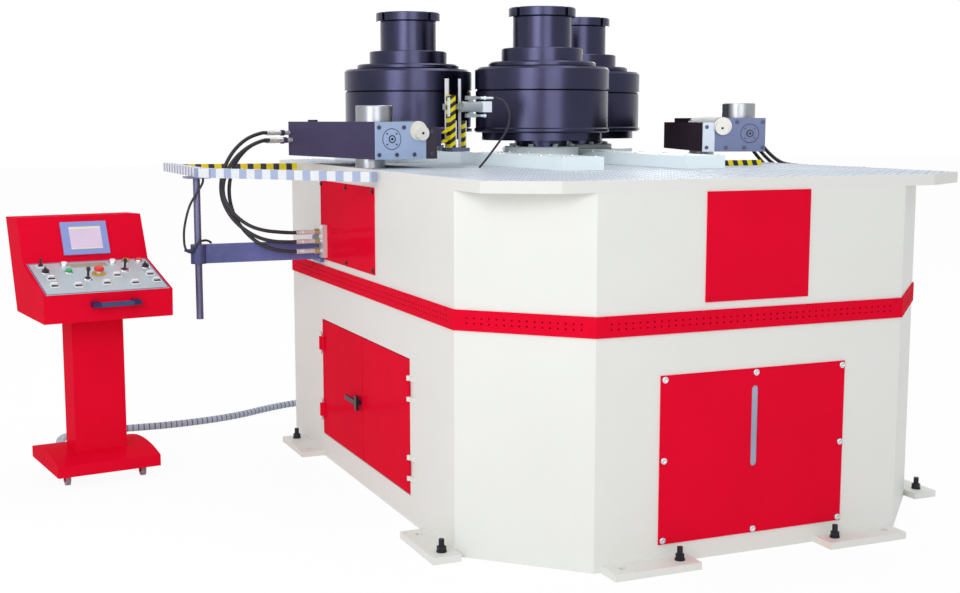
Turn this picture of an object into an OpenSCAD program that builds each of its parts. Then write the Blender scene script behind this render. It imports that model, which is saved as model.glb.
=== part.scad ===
// Horizontal three-roll angle bender: octagonal casing, table, three stacked roll shafts,
// two lateral guide units, a height-adjustable work support and a control console on wheels.
// Origin on the floor under the middle of the casing, X to the right, Y to the back, Z up.

/* [Casing] */
// Width over the left and right faces
casing_w = 1950; // [1900:10:2050]
// Depth over the front and back faces
casing_d = 2730; // [2680:10:2850]
// Leg of the four corner chamfers
casing_chamfer = 355; // [300:5:370]
// Sheet thickness of the casing
casing_wall = 10; // [6:1:14]
// Height of the lower casing
lower_h = 792; // [770:1:820]
// Height of the belt between the two casings
belt_h = 71; // [55:1:85]
// How far the belt stands proud of the casing
belt_proud = 6; // [3:1:12]
// Height of the upper casing
upper_h = 402; // [390:1:430]
// Thickness of the table plate
table_t = 40; // [25:1:50]
// Corner cut of the table along X
table_cut_x = 226; // [150:1:280]
// Corner cut of the table along Y
table_cut_y = 132; // [80:1:180]

/* [Covers and doors] */
// Thickness of the bolted cover plates
cover_t = 5; // [3:1:8]
// How far a cover laps over the edge of its opening
cover_lap = 25; // [15:1:40]
// Width of the upper front panel
front_panel_w = 416; // [350:1:460]
// Height of the upper front panel
front_panel_h = 372; // [300:1:376]
// Height of these panels' middle above the upper casing's middle
front_panel_up = 12; // [0:1:13]
// Width of the upper side panel along Y
side_panel_w = 722; // [600:1:760]
// Height of the upper side panel
side_panel_h = 343; // [280:1:360]
// Centre of the upper side panel along Y
side_panel_y = 170; // [150:1:190]
// Width of the lower front cover
front_cover_w = 752; // [650:1:800]
// Height of the lower front cover
front_cover_h = 582; // [520:1:620]
// Bottom edge of the lower front cover
front_cover_z = 69; // [40:1:100]
// Width of the oil sight slot
sight_w = 27; // [18:1:36]
// Length of the oil sight slot
sight_l = 285; // [200:1:320]
// Width of the double door opening along Y
door_w = 1123; // [1000:1:1180]
// Height of the double door opening
door_h = 521; // [450:1:560]
// Bottom edge of the double door opening
door_z = 101; // [80:1:130]
// Thickness of a door leaf
door_t = 20; // [12:1:28]
// Middle of the double door along Y
door_mid = -13; // [-20:1:0]
// Gap round a door leaf
door_gap = 4; // [2:0.5:6]

/* [Feet] */
// Thickness of the foot pads
pad_t = 25; // [18:1:35]
// Length of a foot pad
pad_l = 330; // [280:1:360]
// How far a foot pad stands out of the casing
pad_out = 105; // [80:1:130]
// Distance of the front and back pads from the middle
end_pad_x = 430; // [400:1:440]
// Place of the side pads near the front
side_pad_front = 910; // [860:1:940]
// Place of the side pads near the back
side_pad_back = 705; // [650:1:760]
// Distance of each pad hole from the pad's middle
pad_hole_off = 110; // [80:1:120]
// Diameter of the anchor holes
anchor_d = 28; // [22:1:34]
// Diameter of the levelling bolts
level_bolt_d = 20; // [16:1:24]

/* [Rolls] */
// Radius of the roll shafts
shaft_r = 110; // [95:1:118]
// Outside radius of the spacer sleeves
sleeve_r = 131; // [125:1:140]
// Outside radius of the roll dies
die_r = 300; // [270:1:301]
// Distance of the middle roll ahead of the side rolls
roll_step = 510; // [500:1:525]
// Distance of the side rolls from the middle plane
side_roll_x = 448; // [445:1:460]
// Distance of the side rolls from the back face
roll_back = 518; // [495:1:520]
// Radius of the boss under each roll
boss_r = 167; // [150:1:175]
// Height of the boss above the table
boss_h = 75; // [70:1:85]
// Clear height between the boss and the dies
die_lift = 28; // [24:1:40]
// Height of the foot flange of the dies
flange_h = 34; // [20:1:45]
// Height of the rim at the bottom of the lower die
rim_h = 22; // [14:1:30]
// Height of the lower die above its rim
lower_die_h = 165; // [140:1:190]
// Height of the upper die
upper_die_h = 96; // [80:1:120]
// Gap line between the two dies
die_gap = 3; // [1:0.5:5]
// Height of the clamp washer
washer_h = 24; // [16:1:30]
// Height of the clamp collar
collar_h = 60; // [50:1:70]
// Height of the sleeve above the collar
sleeve_h = 138; // [110:1:160]
// Height of the end cap
cap_h = 40; // [30:1:50]

/* [Slides] */
// Forward travel of the side rolls
slide_in = 90; // [40:1:92]
// Backward travel of the side rolls
slide_out = 150; // [80:1:160]
// Thickness of the slide plates
slide_t = 52; // [40:1:60]
// Width of the front tongue of a slide plate
tongue_w = 177; // [150:1:190]
// Inner edge of the slide plates
slide_x = 185; // [180:1:190]
// Length of a slide plate ahead of its roll
tongue_l = 1447; // [1350:1:1550]

/* [Guides] */
// Distance of the left guide's roller from the left face
left_inset = 83; // [75:1:90]
// Distance of the right guide's roller from the right face
right_inset = 134; // [126:1:142]
// Distance of the left guide's roller ahead of the side rolls
left_ahead = 797; // [787:1:807]
// Distance of the right guide's roller ahead of the side rolls
right_ahead = 818; // [808:1:828]
// How much higher the right guide stands
right_raise = 16; // [10:1:22]
// Outward turn of the left guide
left_turn = 10; // [8:0.5:12]
// Outward turn of the right guide
right_turn = 18.5; // [16:0.5:20]
// Length of a guide arm
arm_l = 790; // [760:1:800]
// Height of a guide arm
arm_h = 148; // [140:1:155]
// Clear height under a guide arm
arm_lift = 37; // [32:1:45]
// Radius of the guide rollers
guide_roller_r = 75; // [60:1:78]
// Height of the guide rollers above the arm
guide_roller_h = 65; // [50:1:80]
// Radius of the guide posts
post_r = 60; // [50:1:64]
// Radius of the pivots and roller shafts of the guides
pivot_r = 40; // [32:1:44]
// Radius of the guide cylinders
guide_cyl_r = 40; // [34:1:42]
// Thickness of the guide face plates
face_t = 12; // [8:1:16]

/* [Work support] */
// Height of the support frame's bars
bar_h = 38; // [30:1:40]
// Width of the support frame's bars
bar_w = 40; // [30:1:44]
// Diameter of the support post
support_d = 30; // [24:1:34]
// Height of the support arm
support_arm_h = 82; // [70:1:95]
// Middle height of the support arm
support_arm_z = 934; // [925:1:945]
// Lower end of the support post
support_low = 656; // [600:1:700]

/* [Console] */
// Place of the console to the left of the middle
console_x = 1962; // [1940:1:1990]
// Place of the console along Y
console_y = 632; // [620:1:650]
// Turn of the console
console_turn = 8; // [7:0.5:9]
// Width of the console box
console_w = 522; // [490:1:540]
// Width of the console base
console_base_w = 426; // [400:1:450]
// Depth of the console base
console_base_d = 440; // [420:1:460]
// Width of the pedestal
pedestal_w = 215; // [190:1:240]
// Depth of the pedestal
pedestal_d = 150; // [120:1:160]
// Height of the box floor above the ground
console_box_z = 697; // [680:1:710]
// Diameter of the caster wheels
wheel_d = 50; // [40:1:50]
// Width of the caster wheels
wheel_w = 18; // [14:1:22]
// Sheet thickness of the console box
console_wall = 3; // [2:0.5:5]

/* [Fits] */
// Running clearance of shafts and pins, on the radius
run_fit = 0.05; // [0.02:0.01:0.1]
// Clearance between flat faces that slide or swing
face_gap = 0.5; // [0.3:0.1:0.8]
// Gap under separate solids of one piece
seat_gap = 0.3; // [0.1:0.1:0.5]

/* [Hidden] */
$fn = 64;
over = 1;
white = [0.88, 0.88, 0.86];
red = [0.8, 0.03, 0.1];
roll_black = [0.13, 0.11, 0.15];
dark = [0.2, 0.2, 0.26];
steel = [0.7, 0.7, 0.72];
pale = [0.72, 0.78, 0.86];
hose_black = [0.1, 0.1, 0.12];

left_face = -casing_w / 2;
front_face = -casing_d / 2;
belt_z = lower_h;
upper_z = belt_z + belt_h;
table_z = upper_z + upper_h;
top_z = table_z + table_t;
side_roll_y = casing_d / 2 - roll_back;
mid_roll_y = side_roll_y - roll_step;
tongue_front = tongue_l - side_roll_y;

// Heights of one roll stack, from the boss upward
boss_top = top_z + boss_h;
flange_z = boss_top + die_lift;
rim_z = flange_z + flange_h;
lower_z = rim_z + rim_h;
groove_z = lower_z + lower_die_h;
upper_die_z = groove_z + die_gap;
washer_z = upper_die_z + upper_die_h;
collar_z = washer_z + washer_h;
sleeve_z = collar_z + collar_h;
cap_z = sleeve_z + sleeve_h;
rim_r = die_r + 3;
flange_r = die_r - 30;
washer_r = die_r - 60;
collar_r = sleeve_r + 51;
cap_r = sleeve_r + 19;
edge = 6;

// Bearing housings under the table
housing_h = 240;
housing_z = table_z - 25 - housing_h;
housing_r = 190;
motor_r = 120;
motor_h = 330;
rail_w = 40;
rail_h = table_z - housing_z - housing_h - face_gap;
carriage_w = 2 * housing_r + 100;
carriage_d = 2 * housing_r + 60;
neck_r = shaft_r + 25;
slot_r = neck_r + 5;
plate_z = top_z + face_gap;
plate_top = plate_z + slide_t;
rail_off = carriage_w / 2 - rail_w;
rod_r = 35;
barrel_r = 75;
barrel_len = 620;
barrel_back = side_roll_y - carriage_d / 2 - slide_in - 60;
rod_z = housing_z + housing_h / 2;

// Guide units, in the left unit's own frame: roller axis at the origin, outside at -X
arm_z = top_z + arm_lift;
arm_top = arm_z + arm_h;
arm_out = 80;
arm_in = 200;
arm_front = 150;
arm_step = 20;
face_in = 148;
cyl_x = 112;
cyl_z = arm_top - 36;
cyl_len = 500;
pin_depth = 60;
cap_at = [-10, 80];
left_post = [-20, 0];
right_post = [70, 394];
left_guide_at = [left_face + left_inset, side_roll_y - left_ahead, 0];
right_guide_at = [-left_face - right_inset, side_roll_y - right_ahead, right_raise];
fit_len = 110;
fit_r = 9.5;
nipples = [[626, 99], [628, 64], [601, 68]];
hose_block = [36, 50, 74];
hose_block_at = [230, 16];
hose_block_outs = [30, 52, 74];
stop_bar = [190, 20, 22];
stop_bar_at = [530, -335, 0];

// Measuring unit on the left guide's inner side
meter_y = -110;
meter_x = arm_in + 84;
meter_w = 84;
meter_z = arm_z + 42;
meter_rod_r = 8;
meter_rods = [meter_z + 26, meter_z + 66];
meter_clamp = 36;
meter_in = 24;
mast_y = meter_y + 29;
masts = [[meter_x + 13, 9], [meter_x + 75, 6]];
mast_top = meter_z + 282;
head_z = meter_z + 167;
head_y = meter_y - 47;

// Work support
support_reach = 550;
support_x = left_face - support_reach;
support_y = 513;
bar_z = table_z - 3;
frame_gap = 38;
boss_out_r = support_d / 2 + 17;
frame_near = [left_face - frame_gap, -250];
frame_knee = [support_x, 390];
frame_tail = [support_x, 1150];
frame_back = [support_x, 930];
frame_root = [left_face - frame_gap, 870];

// Hose outlet on the left face
outlet_y = 466;
outlet_z = [1015, 975, 933];
outlet_len = 135;
outlet_block = 25;

// Block on the table's right edge that takes the right hoses
edge_block = [28, 74, 55];
edge_block_y = -675;

// Console in its own frame: base centre at the origin
base_low = wheel_d + 2;
base_rim = base_low + 47;
base_crown = 28;
wheel_x = 158;
wheel_y = 140;
ped_front = -100;
box_profile = [
    [-290, console_box_z], [-295, console_box_z + 113], [25, console_box_z + 210],
    [113, console_box_z + 397], [312, console_box_z + 391], [170, console_box_z]
];
deck_low = box_profile[1];
deck_high = box_profile[2];
screen_high = box_profile[3];
deck_len = norm(deck_high - deck_low);
deck_tilt = atan2(deck_high[1] - deck_low[1], deck_high[0] - deck_low[0]);
screen_len = norm(screen_high - deck_high);
screen_tilt = atan2(screen_high[1] - deck_high[1], screen_high[0] - deck_high[0]);
deck_t = 3;
deck_margin = 12;
screen_size = [193, 147];
button_r = 11;
stick_w = 14;
knob_r = 14;
hole_gap = 0.3;
estop_at = [0.518, 0.435];
green_at = [0.301, 0.332];
left_knob_at = [0.123, 0.314];
right_knob_at = [0.918, 0.312];
left_stick_at = [0.407, 0.58];
right_stick_at = [0.737, 0.37];
lamp_places = [[0.299, 0.11], [0.689, 0.1], [0.795, 0.1], [0.903, 0.1]];
switch_places = [
    [0.113, 0.13], [0.133, 0.53], [0.121, 0.755], [0.299, 0.786],
    [0.523, 0.76], [0.643, 0.54], [0.739, 0.8], [0.905, 0.562], [0.918, 0.773]
];
moving_places = [
    estop_at, green_at, left_knob_at, right_knob_at, left_stick_at, right_stick_at
];

// Routes of the hoses and cables, chosen by hand
hose_d = 16;
left_hose_routes = [
    [
        [-1188.2, 633.4, 1441], [-1209.9, 629.6, 1441], [-1273, 609, 1421], [-1324, 593, 1387],
        [-1366, 577, 1341], [-1397, 560, 1287], [-1414, 544, 1228], [-1415, 527, 1170],
        [-1398, 509, 1115], [-1366, 492, 1066], [-1321, 478, 1026], [-1267, 468, 996],
        [-1204, 464, 980], [-1132.4, 466, 975], [-1110.4, 466, 975]
    ],
    [
        [-1188.6, 635.4, 1406], [-1210.2, 631.6, 1406], [-1268, 613, 1383], [-1312, 601, 1347],
        [-1345, 589, 1302], [-1366, 576, 1250], [-1376, 562, 1194], [-1374, 545, 1138],
        [-1360, 527, 1085], [-1334, 509, 1037], [-1298, 492, 995], [-1253, 478, 964],
        [-1199, 468, 944], [-1132.4, 466, 933], [-1110.4, 466, 933]
    ],
    [
        [-1183.9, 608.8, 1410], [-1205.5, 605, 1410], [-1262, 585, 1392], [-1312, 567, 1364],
        [-1356, 549, 1326], [-1390, 531, 1279], [-1411, 514, 1229], [-1414, 497, 1177],
        [-1395, 483, 1128], [-1359, 471, 1084], [-1311, 463, 1050], [-1254, 460, 1030],
        [-1196, 461, 1021], [-1132.4, 466, 1015], [-1110.4, 466, 1015]
    ]
];
right_hose_routes = [
    [
        [997.2, 187.1, 1432], [990.9, 168.1, 1432], [974, 112, 1428], [963, 58, 1410], [962, 10, 1382],
        [970, -32, 1349], [981, -76, 1320], [986.5, -125, 1304], [987, -210, 1298], [987, -330, 1296],
        [987, -460, 1296], [987, -560, 1296], [987, -600.6, 1296]
    ],
    [
        [997.2, 187.1, 1410], [990.9, 168.1, 1410], [977, 120, 1404], [970, 72, 1382], [973, 30, 1350],
        [981, -10, 1320], [986, -55, 1297], [987, -110, 1284], [987, -200, 1280], [987, -330, 1279],
        [987, -460, 1279], [987, -560, 1279], [987, -600.6, 1279]
    ],
    [
        [997.2, 187.1, 1388], [990.9, 168.1, 1388], [980, 130, 1378], [976, 95, 1352], [982, 60, 1322],
        [987, 20, 1295], [988, -30, 1276], [988, -90, 1267], [987, -180, 1263], [987, -320, 1262],
        [987, -460, 1262], [987, -560, 1262], [987, -600.6, 1262]
    ]
];
cable_d = 34;
cable_route = [
    [-1996.8, 878, 76], [-2000, 901, 76], [-2007, 945, 68], [-2026, 1010, 42], [-2042, 1085, 22],
    [-2052, 1160, 18], [-2044, 1235, 18], [-2006, 1298, 18], [-1944, 1338, 18],
    [-1860, 1356, 18], [-1760, 1361, 18], [-1660, 1357, 18], [-1560, 1355, 18],
    [-1460, 1362, 18], [-1360, 1378, 18], [-1250, 1406, 18], [-1130, 1456, 18],
    [-1000, 1532, 18], [-880, 1590, 18], [-770, 1620, 18], [-660, 1622, 20],
    [-560, 1588, 30], [-490, 1520, 50], [-460, 1460, 66],
    [-450, 1415, 70], [-450, 1391.4, 70]
];
gland_x = -450;
gland_z = 70;
gland_len = 26;
meter_cable_d = 9;
meter_cable_route = [
    [-397.4, -22.2, 1587], [-388, -20.5, 1587], [-374, -21, 1585], [-361, -32, 1578],
    [-353, -52, 1563], [-352, -76, 1541], [-357, -100, 1512], [-371, -122, 1480],
    [-393, -141, 1448], [-427, -158, 1412], [-468, -173, 1370], [-504, -189, 1336],
    [-524, -199, 1319], [-537, -207, 1310]
];
support_cable_d = 10;
support_cable_route = [
    [-1505, 477, 1253.5], [-1505, 477, 1242], [-1511, 479, 1226], [-1527, 484, 1199], [-1560, 495, 1139],
    [-1582, 505, 1050], [-1585, 504, 985], [-1578, 492, 952], [-1562, 478, 946],
    [-1547, 470, 966], [-1528, 466, 989], [-1505, 476, 994], [-1485, 498, 990], [-1470, 513, 980.3]
];

function oct_points(w, d, cx, cy) = [
    [-w / 2 + cx, -d / 2], [w / 2 - cx, -d / 2], [w / 2, -d / 2 + cy], [w / 2, d / 2 - cy],
    [w / 2 - cx, d / 2], [-w / 2 + cx, d / 2], [-w / 2, d / 2 - cy], [-w / 2, -d / 2 + cy]
];

// Chamfer leg of the casing outline moved outward by t
function leg(t) = casing_chamfer + (2 - sqrt(2)) * t;

module casing_outline(t) {
    polygon(oct_points(casing_w + 2 * t, casing_d + 2 * t, leg(t), leg(t)));
}

module casing_ring(h, t) {
    linear_extrude(h) difference() {
        casing_outline(t);
        casing_outline(-casing_wall);
    }
}

// A block that is given by its low corner and its size
module block(low, size) {
    translate(low) cube(size);
}

// A cylinder along X, Y or Z that starts at a point
module rod_x(p, r, l) {
    translate(p) rotate([0, 90, 0]) cylinder(r = r, h = l);
}

module rod_y(p, r, l) {
    translate(p) rotate([-90, 0, 0]) cylinder(r = r, h = l);
}

module rod_z(p, r, l) {
    translate(p) cylinder(r = r, h = l);
}

// Outline of a bar between two points of the plan
module flat_bar(a, b, w) {
    run = b - a;
    translate(a) rotate(atan2(run[1], run[0])) translate([-w / 2, -w / 2]) square([norm(run) + w, w]);
}

// A ring with chamfered edges, turned about Z
module turned_ring(r_in, r_out, h, c) {
    rotate_extrude($fn = 128) polygon([
        [r_in, 0], [r_out - c, 0], [r_out, c], [r_out, h - c], [r_out - c, h], [r_in, h]
    ]);
}

function unit(v) = v / norm(v);

function run_at(path, i) =
    unit(path[min(i + 1, len(path) - 1)] - path[max(i - 1, 0)]);

// A round tube swept along a route; side is a direction that the route never runs along
module tube(path, d, side, sides = 8) {
    n = len(path);
    rings = [
        for (i = [0 : n - 1], k = [0 : sides - 1])
            let (
                t = run_at(path, i),
                u = unit(cross(t, side)),
                v = cross(u, t),
                a = 360 * k / sides
            )
            path[i] + d / 2 * (cos(a) * u + sin(a) * v)
    ];
    walls = [
        for (i = [0 : n - 2], k = [0 : sides - 1], half = [0, 1])
            let (
                a = i * sides + k,
                b = i * sides + (k + 1) % sides
            )
            half == 0 ? [a, b, b + sides] : [a, b + sides, a + sides]
    ];
    first = [for (k = [1 : sides - 2]) [0, k + 1, k]];
    e = (n - 1) * sides;
    last = [for (k = [1 : sides - 2]) [e, e + k, e + k + 1]];
    polyhedron(rings, concat(walls, first, last));
}

// Casing

module lower_casing() {
    color(white) {
        difference() {
            linear_extrude(lower_h) casing_outline(0);
            translate([0, 0, casing_wall]) linear_extrude(lower_h) casing_outline(-casing_wall);
            block([left_face - over, door_mid - door_w / 2, door_z],
                [casing_wall + 2 * over, door_w, door_h]);
            for (s = [-1, 1])
                translate([0, s * (casing_d / 2 - casing_wall / 2), 0]) cover_hole_end();
            translate([casing_w / 2 - casing_wall / 2, 0, 0]) cover_hole_side();
            rod_y([gland_x, casing_d / 2 - casing_wall - over, gland_z], cable_d / 2 + 2,
                casing_wall + 2 * over);
        }
        on_feet() foot_pad();
        hinge_pins();
    }
}

module cover_hole_end() {
    w = front_cover_w - 2 * cover_lap;
    h = front_cover_h - 2 * cover_lap;
    translate([-w / 2, -casing_wall, front_cover_z + cover_lap]) cube([w, 2 * casing_wall, h]);
}

module cover_hole_side() {
    w = door_w - 2 * cover_lap;
    h = door_h - 2 * cover_lap;
    translate([-casing_wall, door_mid - w / 2, door_z + cover_lap]) cube([2 * casing_wall, w, h]);
}

module belt() {
    color(red) translate([0, 0, belt_z]) casing_ring(belt_h, belt_proud);
}

module upper_casing() {
    w = front_panel_w - 2 * cover_lap;
    h = front_panel_h - 2 * cover_lap;
    sw = side_panel_w - 2 * cover_lap;
    sh = side_panel_h - 2 * cover_lap;
    color(white) difference() {
        translate([0, 0, upper_z]) casing_ring(upper_h, 0);
        block([-w / 2, front_face - over, panel_z(front_panel_h) + front_panel_up + cover_lap],
            [w, casing_d + 2 * over, h]);
        block([left_face - over, side_panel_y - sw / 2, panel_z(side_panel_h) + cover_lap],
            [casing_w + 2 * over, sw, sh]);
    }
}

// Bottom edge of an upper panel of height h
function panel_z(h) = upper_z + (upper_h - h) / 2;

// The slot of the oil sight, as a flat outline
module sight_outline(grow) {
    r = sight_w / 2 + grow;
    reach = sight_l / 2 - sight_w / 2;
    for (s = [-1, 1]) translate([0, s * reach]) circle(r);
    square([2 * r, 2 * reach], center = true);
}

sight_z = front_cover_z + front_cover_h - 60 - sight_l / 2;

// Bolted plates over the openings of both casings
module cover_panels() {
    color(red) {
        for (s = [-1, 1]) {
            translate([-front_panel_w / 2, s * (casing_d + cover_t) / 2 - cover_t / 2,
                panel_z(front_panel_h) + front_panel_up]) cube([front_panel_w, cover_t, front_panel_h]);
            translate([s * (casing_w + cover_t) / 2 - cover_t / 2, side_panel_y - side_panel_w / 2,
                panel_z(side_panel_h)]) cube([cover_t, side_panel_w, side_panel_h]);
        }
        difference() {
            block([-front_cover_w / 2, front_face - cover_t, front_cover_z],
                [front_cover_w, cover_t, front_cover_h]);
            translate([0, front_face + over, sight_z]) rotate([90, 0, 0])
                linear_extrude(cover_t + 2 * over) sight_outline(0);
        }
        block([-front_cover_w / 2, -front_face, front_cover_z], [front_cover_w, cover_t, front_cover_h]);
        block([-left_face, door_mid - door_w / 2, door_z], [cover_t, door_w, door_h]);
    }
}

module sight_glass() {
    color([0.5, 0.6, 0.8]) translate([0, front_face + 8, sight_z]) rotate([90, 0, 0])
        linear_extrude(8) sight_outline(10);
}

module table_plate() {
    color(pale) {
        translate([0, 0, table_z]) linear_extrude(table_t) difference() {
            polygon(oct_points(casing_w, casing_d, table_cut_x, table_cut_y));
            translate([0, mid_roll_y]) circle(shaft_r + 5);
            for (x = [-side_roll_x, side_roll_x]) translate([x, side_roll_y]) slideway();
            translate([0, side_roll_y]) table_joints();
        }
        at_center() translate([0, 0, top_z + seat_gap]) roll_boss(boss_h - seat_gap);
        slide_rails();
        translate([0, 0, top_z + seat_gap]) block(stop_bar_at, stop_bar);
    }
}

// Slideway in the table that a side roll's neck runs along
module slideway() {
    translate([-slot_r, -slide_in - slot_r]) square([2 * slot_r, slide_in + slide_out + 2 * slot_r]);
}

// Joints between the table's plates, in front of the slideways and behind them
module table_joints() {
    for (y = [-slide_in - slot_r - seat_gap, slide_out + slot_r])
        translate([-casing_w, y]) square([2 * casing_w, seat_gap]);
}

// Feet

// A pad along X whose back edge lies on Y = 0, with its anchor hole at +X
module foot_pad() {
    difference() {
        block([-pad_l / 2, -pad_out, 0], [pad_l, pad_out, pad_t]);
        rod_z([pad_hole_off, -pad_out / 2, -over], anchor_d / 2, pad_t + 2 * over);
        rod_z([-pad_hole_off, -pad_out / 2, -over], level_bolt_d / 2 + face_gap, pad_t + 2 * over);
    }
}

module on_feet() {
    for (m = [0, 1]) mirror([m, 0, 0]) {
        for (n = [0, 1]) mirror([0, n, 0]) translate([end_pad_x, front_face, 0]) children();
        translate([left_face, -side_pad_front, 0]) rotate([0, 0, -90]) mirror([1, 0, 0]) children();
        translate([left_face, side_pad_back, 0]) rotate([0, 0, -90]) children();
    }
}

module levelling_bolts() {
    color(dark) on_feet() translate([-pad_hole_off, -pad_out / 2, 0]) {
        rod_z([0, 0, over], level_bolt_d / 2, pad_t + 45);
        rod_z([0, 0, pad_t], level_bolt_d * 0.9, 5);
        translate([0, 0, pad_t + 5]) cylinder(r = level_bolt_d * 0.85, h = level_bolt_d * 0.8, $fn = 6);
    }
}

// Double door in the left face

hinge_x = left_face - 8;
hinge_pin_r = 4;
hinge_r = 7;
hinge_len = 60;
hinge_tip = 18;
strap_t = 5;
strap_w = 42;
hinge_heights = [door_z + 80, door_z + door_h - 80 - hinge_len];
leaf_w = door_w / 2 - 1.5 * door_gap;
handle_y = door_mid + door_gap / 2 + 18;
handle_z = 345;
handle_r = 9;

// Hinge line of the front leaf (side -1) or the back leaf (side 1)
function hinge_y(side) = door_mid + side * (door_w / 2 + 4);

// One leaf with its hinge knuckles on straps, seen with the hinge at -Y
module door_leaf(h) {
    difference() {
        union() {
            block([left_face, h + 4 + door_gap, door_z + door_gap], [door_t, leaf_w, door_h - 2 * door_gap]);
            for (z = hinge_heights) {
                rod_z([hinge_x, h, z], hinge_r, hinge_len);
                block([hinge_x, h, z], [strap_t, strap_w, hinge_len]);
                block([hinge_x, h + 12, z], [9, strap_w - 12, hinge_len]);
            }
        }
        for (z = hinge_heights) rod_z([hinge_x, h, z - over], hinge_pin_r + run_fit, hinge_len + 2 * over);
    }
}

module front_door_leaf() {
    color(red) door_leaf(hinge_y(-1));
}

module back_door_leaf() {
    color(red) difference() {
        mirror([0, 1, 0]) door_leaf(-hinge_y(1));
        rod_x([left_face - over, handle_y, handle_z], handle_r + run_fit, door_t + 2 * over);
    }
}

// Pins with a knuckle over and under each leaf knuckle, on lugs against the casing
module hinge_pins() {
    for (side = [-1, 1], z = hinge_heights) {
        rod_z([hinge_x, hinge_y(side), z - hinge_tip], hinge_pin_r, hinge_len + 2 * hinge_tip);
        for (end = [z - hinge_tip, z + hinge_len + face_gap]) {
            rod_z([hinge_x, hinge_y(side), end], hinge_r, hinge_tip - face_gap);
            block([hinge_x, side < 0 ? hinge_y(side) - 40 : hinge_y(side), end],
                [9, 40, hinge_tip - face_gap]);
        }
    }
}

module door_handle() {
    color(dark) {
        rod_x([left_face - 14, handle_y, handle_z], handle_r, door_t + 20);
        block([left_face - 26, handle_y - 12, handle_z - 30], [12, 24, 60]);
        block([left_face - 26, handle_y + 12, handle_z - 9], [10, 130, 18]);
        block([left_face + door_t + face_gap, handle_y - 8, handle_z - 8], [4, 16, 60]);
    }
}

// Hydraulic unit behind the front cover

tank_w = 640;
tank_d = 460;
tank_h = 470;
tank_y = front_face + 90;

module hydraulic_unit() {
    z = casing_wall + tank_h;
    color(white) difference() {
        block([-tank_w / 2, tank_y, casing_wall], [tank_w, tank_d, tank_h]);
        block([-tank_w / 2 + 6, tank_y + 6, casing_wall + 6], [tank_w - 12, tank_d - 12, tank_h - 12]);
        rod_z([tank_w / 2 - 80, tank_y + 80, z - 20], 30, 40);
    }
    color(dark) translate([0, tank_y + tank_d / 2, z]) {
        rod_z([0, 0, 0], 130, 20);
        rod_z([0, 0, 20], 105, 200);
        rod_z([0, 0, 220], 60, 30);
        for (a = [0 : 30 : 330]) rotate([0, 0, a]) block([100, -4, 30], [18, 8, 180]);
    }
}

// Roll stacks

module roll_shaft() {
    rod_z([0, 0, housing_z + 10], shaft_r, cap_z - housing_z - 10);
    rod_z([0, 0, flange_z - 24], shaft_r + 12, 24);
}

module roll_spacers() {
    bore = shaft_r + run_fit;
    translate([0, 0, washer_z]) turned_ring(bore, washer_r, washer_h, edge);
    translate([0, 0, collar_z]) turned_ring(bore, collar_r, collar_h, 3);
    translate([0, 0, sleeve_z]) turned_ring(bore, sleeve_r, sleeve_h, 2);
    translate([0, 0, cap_z]) difference() {
        turned_ring(40, cap_r, cap_h, 3);
        for (a = [0 : 90 : 270]) rotate([0, 0, a + 20])
            block([cap_r - 14, -9, -over], [20, 18, cap_h + 2 * over]);
    }
}

module roll_dies() {
    bore = shaft_r + run_fit;
    rotate_extrude($fn = 128) polygon([
        [bore, flange_z], [flange_r, flange_z], [flange_r, rim_z], [rim_r - edge, rim_z],
        [rim_r, rim_z + edge], [rim_r, lower_z - edge], [die_r - 3, lower_z],
        [die_r - 3, groove_z - edge], [die_r - 3 - edge, groove_z], [die_r - 10, groove_z],
        [die_r - 10, upper_die_z], [die_r, upper_die_z], [die_r, washer_z - 10],
        [die_r - 10, washer_z], [bore, washer_z]
    ]);
}

module at_center() {
    translate([0, mid_roll_y, 0]) children();
}

module at_left() {
    translate([-side_roll_x, side_roll_y, 0]) children();
}

module at_right() {
    translate([side_roll_x, side_roll_y, 0]) children();
}

module center_shaft() {
    color(roll_black) at_center() roll_shaft();
}

module center_spacers() {
    color(roll_black) at_center() roll_spacers();
}

module center_dies() {
    color(roll_black) at_center() roll_dies();
}

module left_shaft() {
    color(roll_black) at_left() roll_shaft();
}

module left_spacers() {
    color(roll_black) at_left() roll_spacers();
}

module left_dies() {
    color(roll_black) at_left() roll_dies();
}

module right_shaft() {
    color(roll_black) at_right() roll_shaft();
}

module right_spacers() {
    color(roll_black) at_right() roll_spacers();
}

module right_dies() {
    color(roll_black) at_right() roll_dies();
}

// Boss with its ring of cap screws, drawn from the face that it stands on
module roll_boss(h) {
    turned_ring(shaft_r + 2, boss_r, h, 3);
    for (a = [0 : 45 : 315]) rotate([0, 0, a]) rod_z([(shaft_r + boss_r) / 2 + 2, 0, h], 12, 12);
}

// Bearing housing with a blind bore and the drive motor under it
module bearing_core() {
    rod_z([0, 0, housing_z], housing_r, housing_h);
}

module drive_motor() {
    rod_z([0, 0, housing_z - motor_h], motor_r, motor_h);
    rod_z([0, 0, housing_z - 40], motor_r + 35, 40);
}

module shaft_bore() {
    rod_z([0, 0, housing_z + 10 - face_gap], shaft_r + run_fit, top_z);
}

module center_housing() {
    color(dark) at_center() difference() {
        union() {
            bearing_core();
            rod_z([0, 0, housing_z + housing_h], housing_r + 40, table_z - housing_z - housing_h);
            drive_motor();
        }
        shaft_bore();
    }
}

module slide_rails() {
    len_y = carriage_d + slide_in + slide_out;
    for (s = [-1, 1], o = [-1, 1])
        block([s * side_roll_x + o * rail_off - rail_w / 2, side_roll_y - carriage_d / 2 - slide_in,
            table_z - rail_h], [rail_w, len_y, rail_h - seat_gap]);
}

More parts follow.
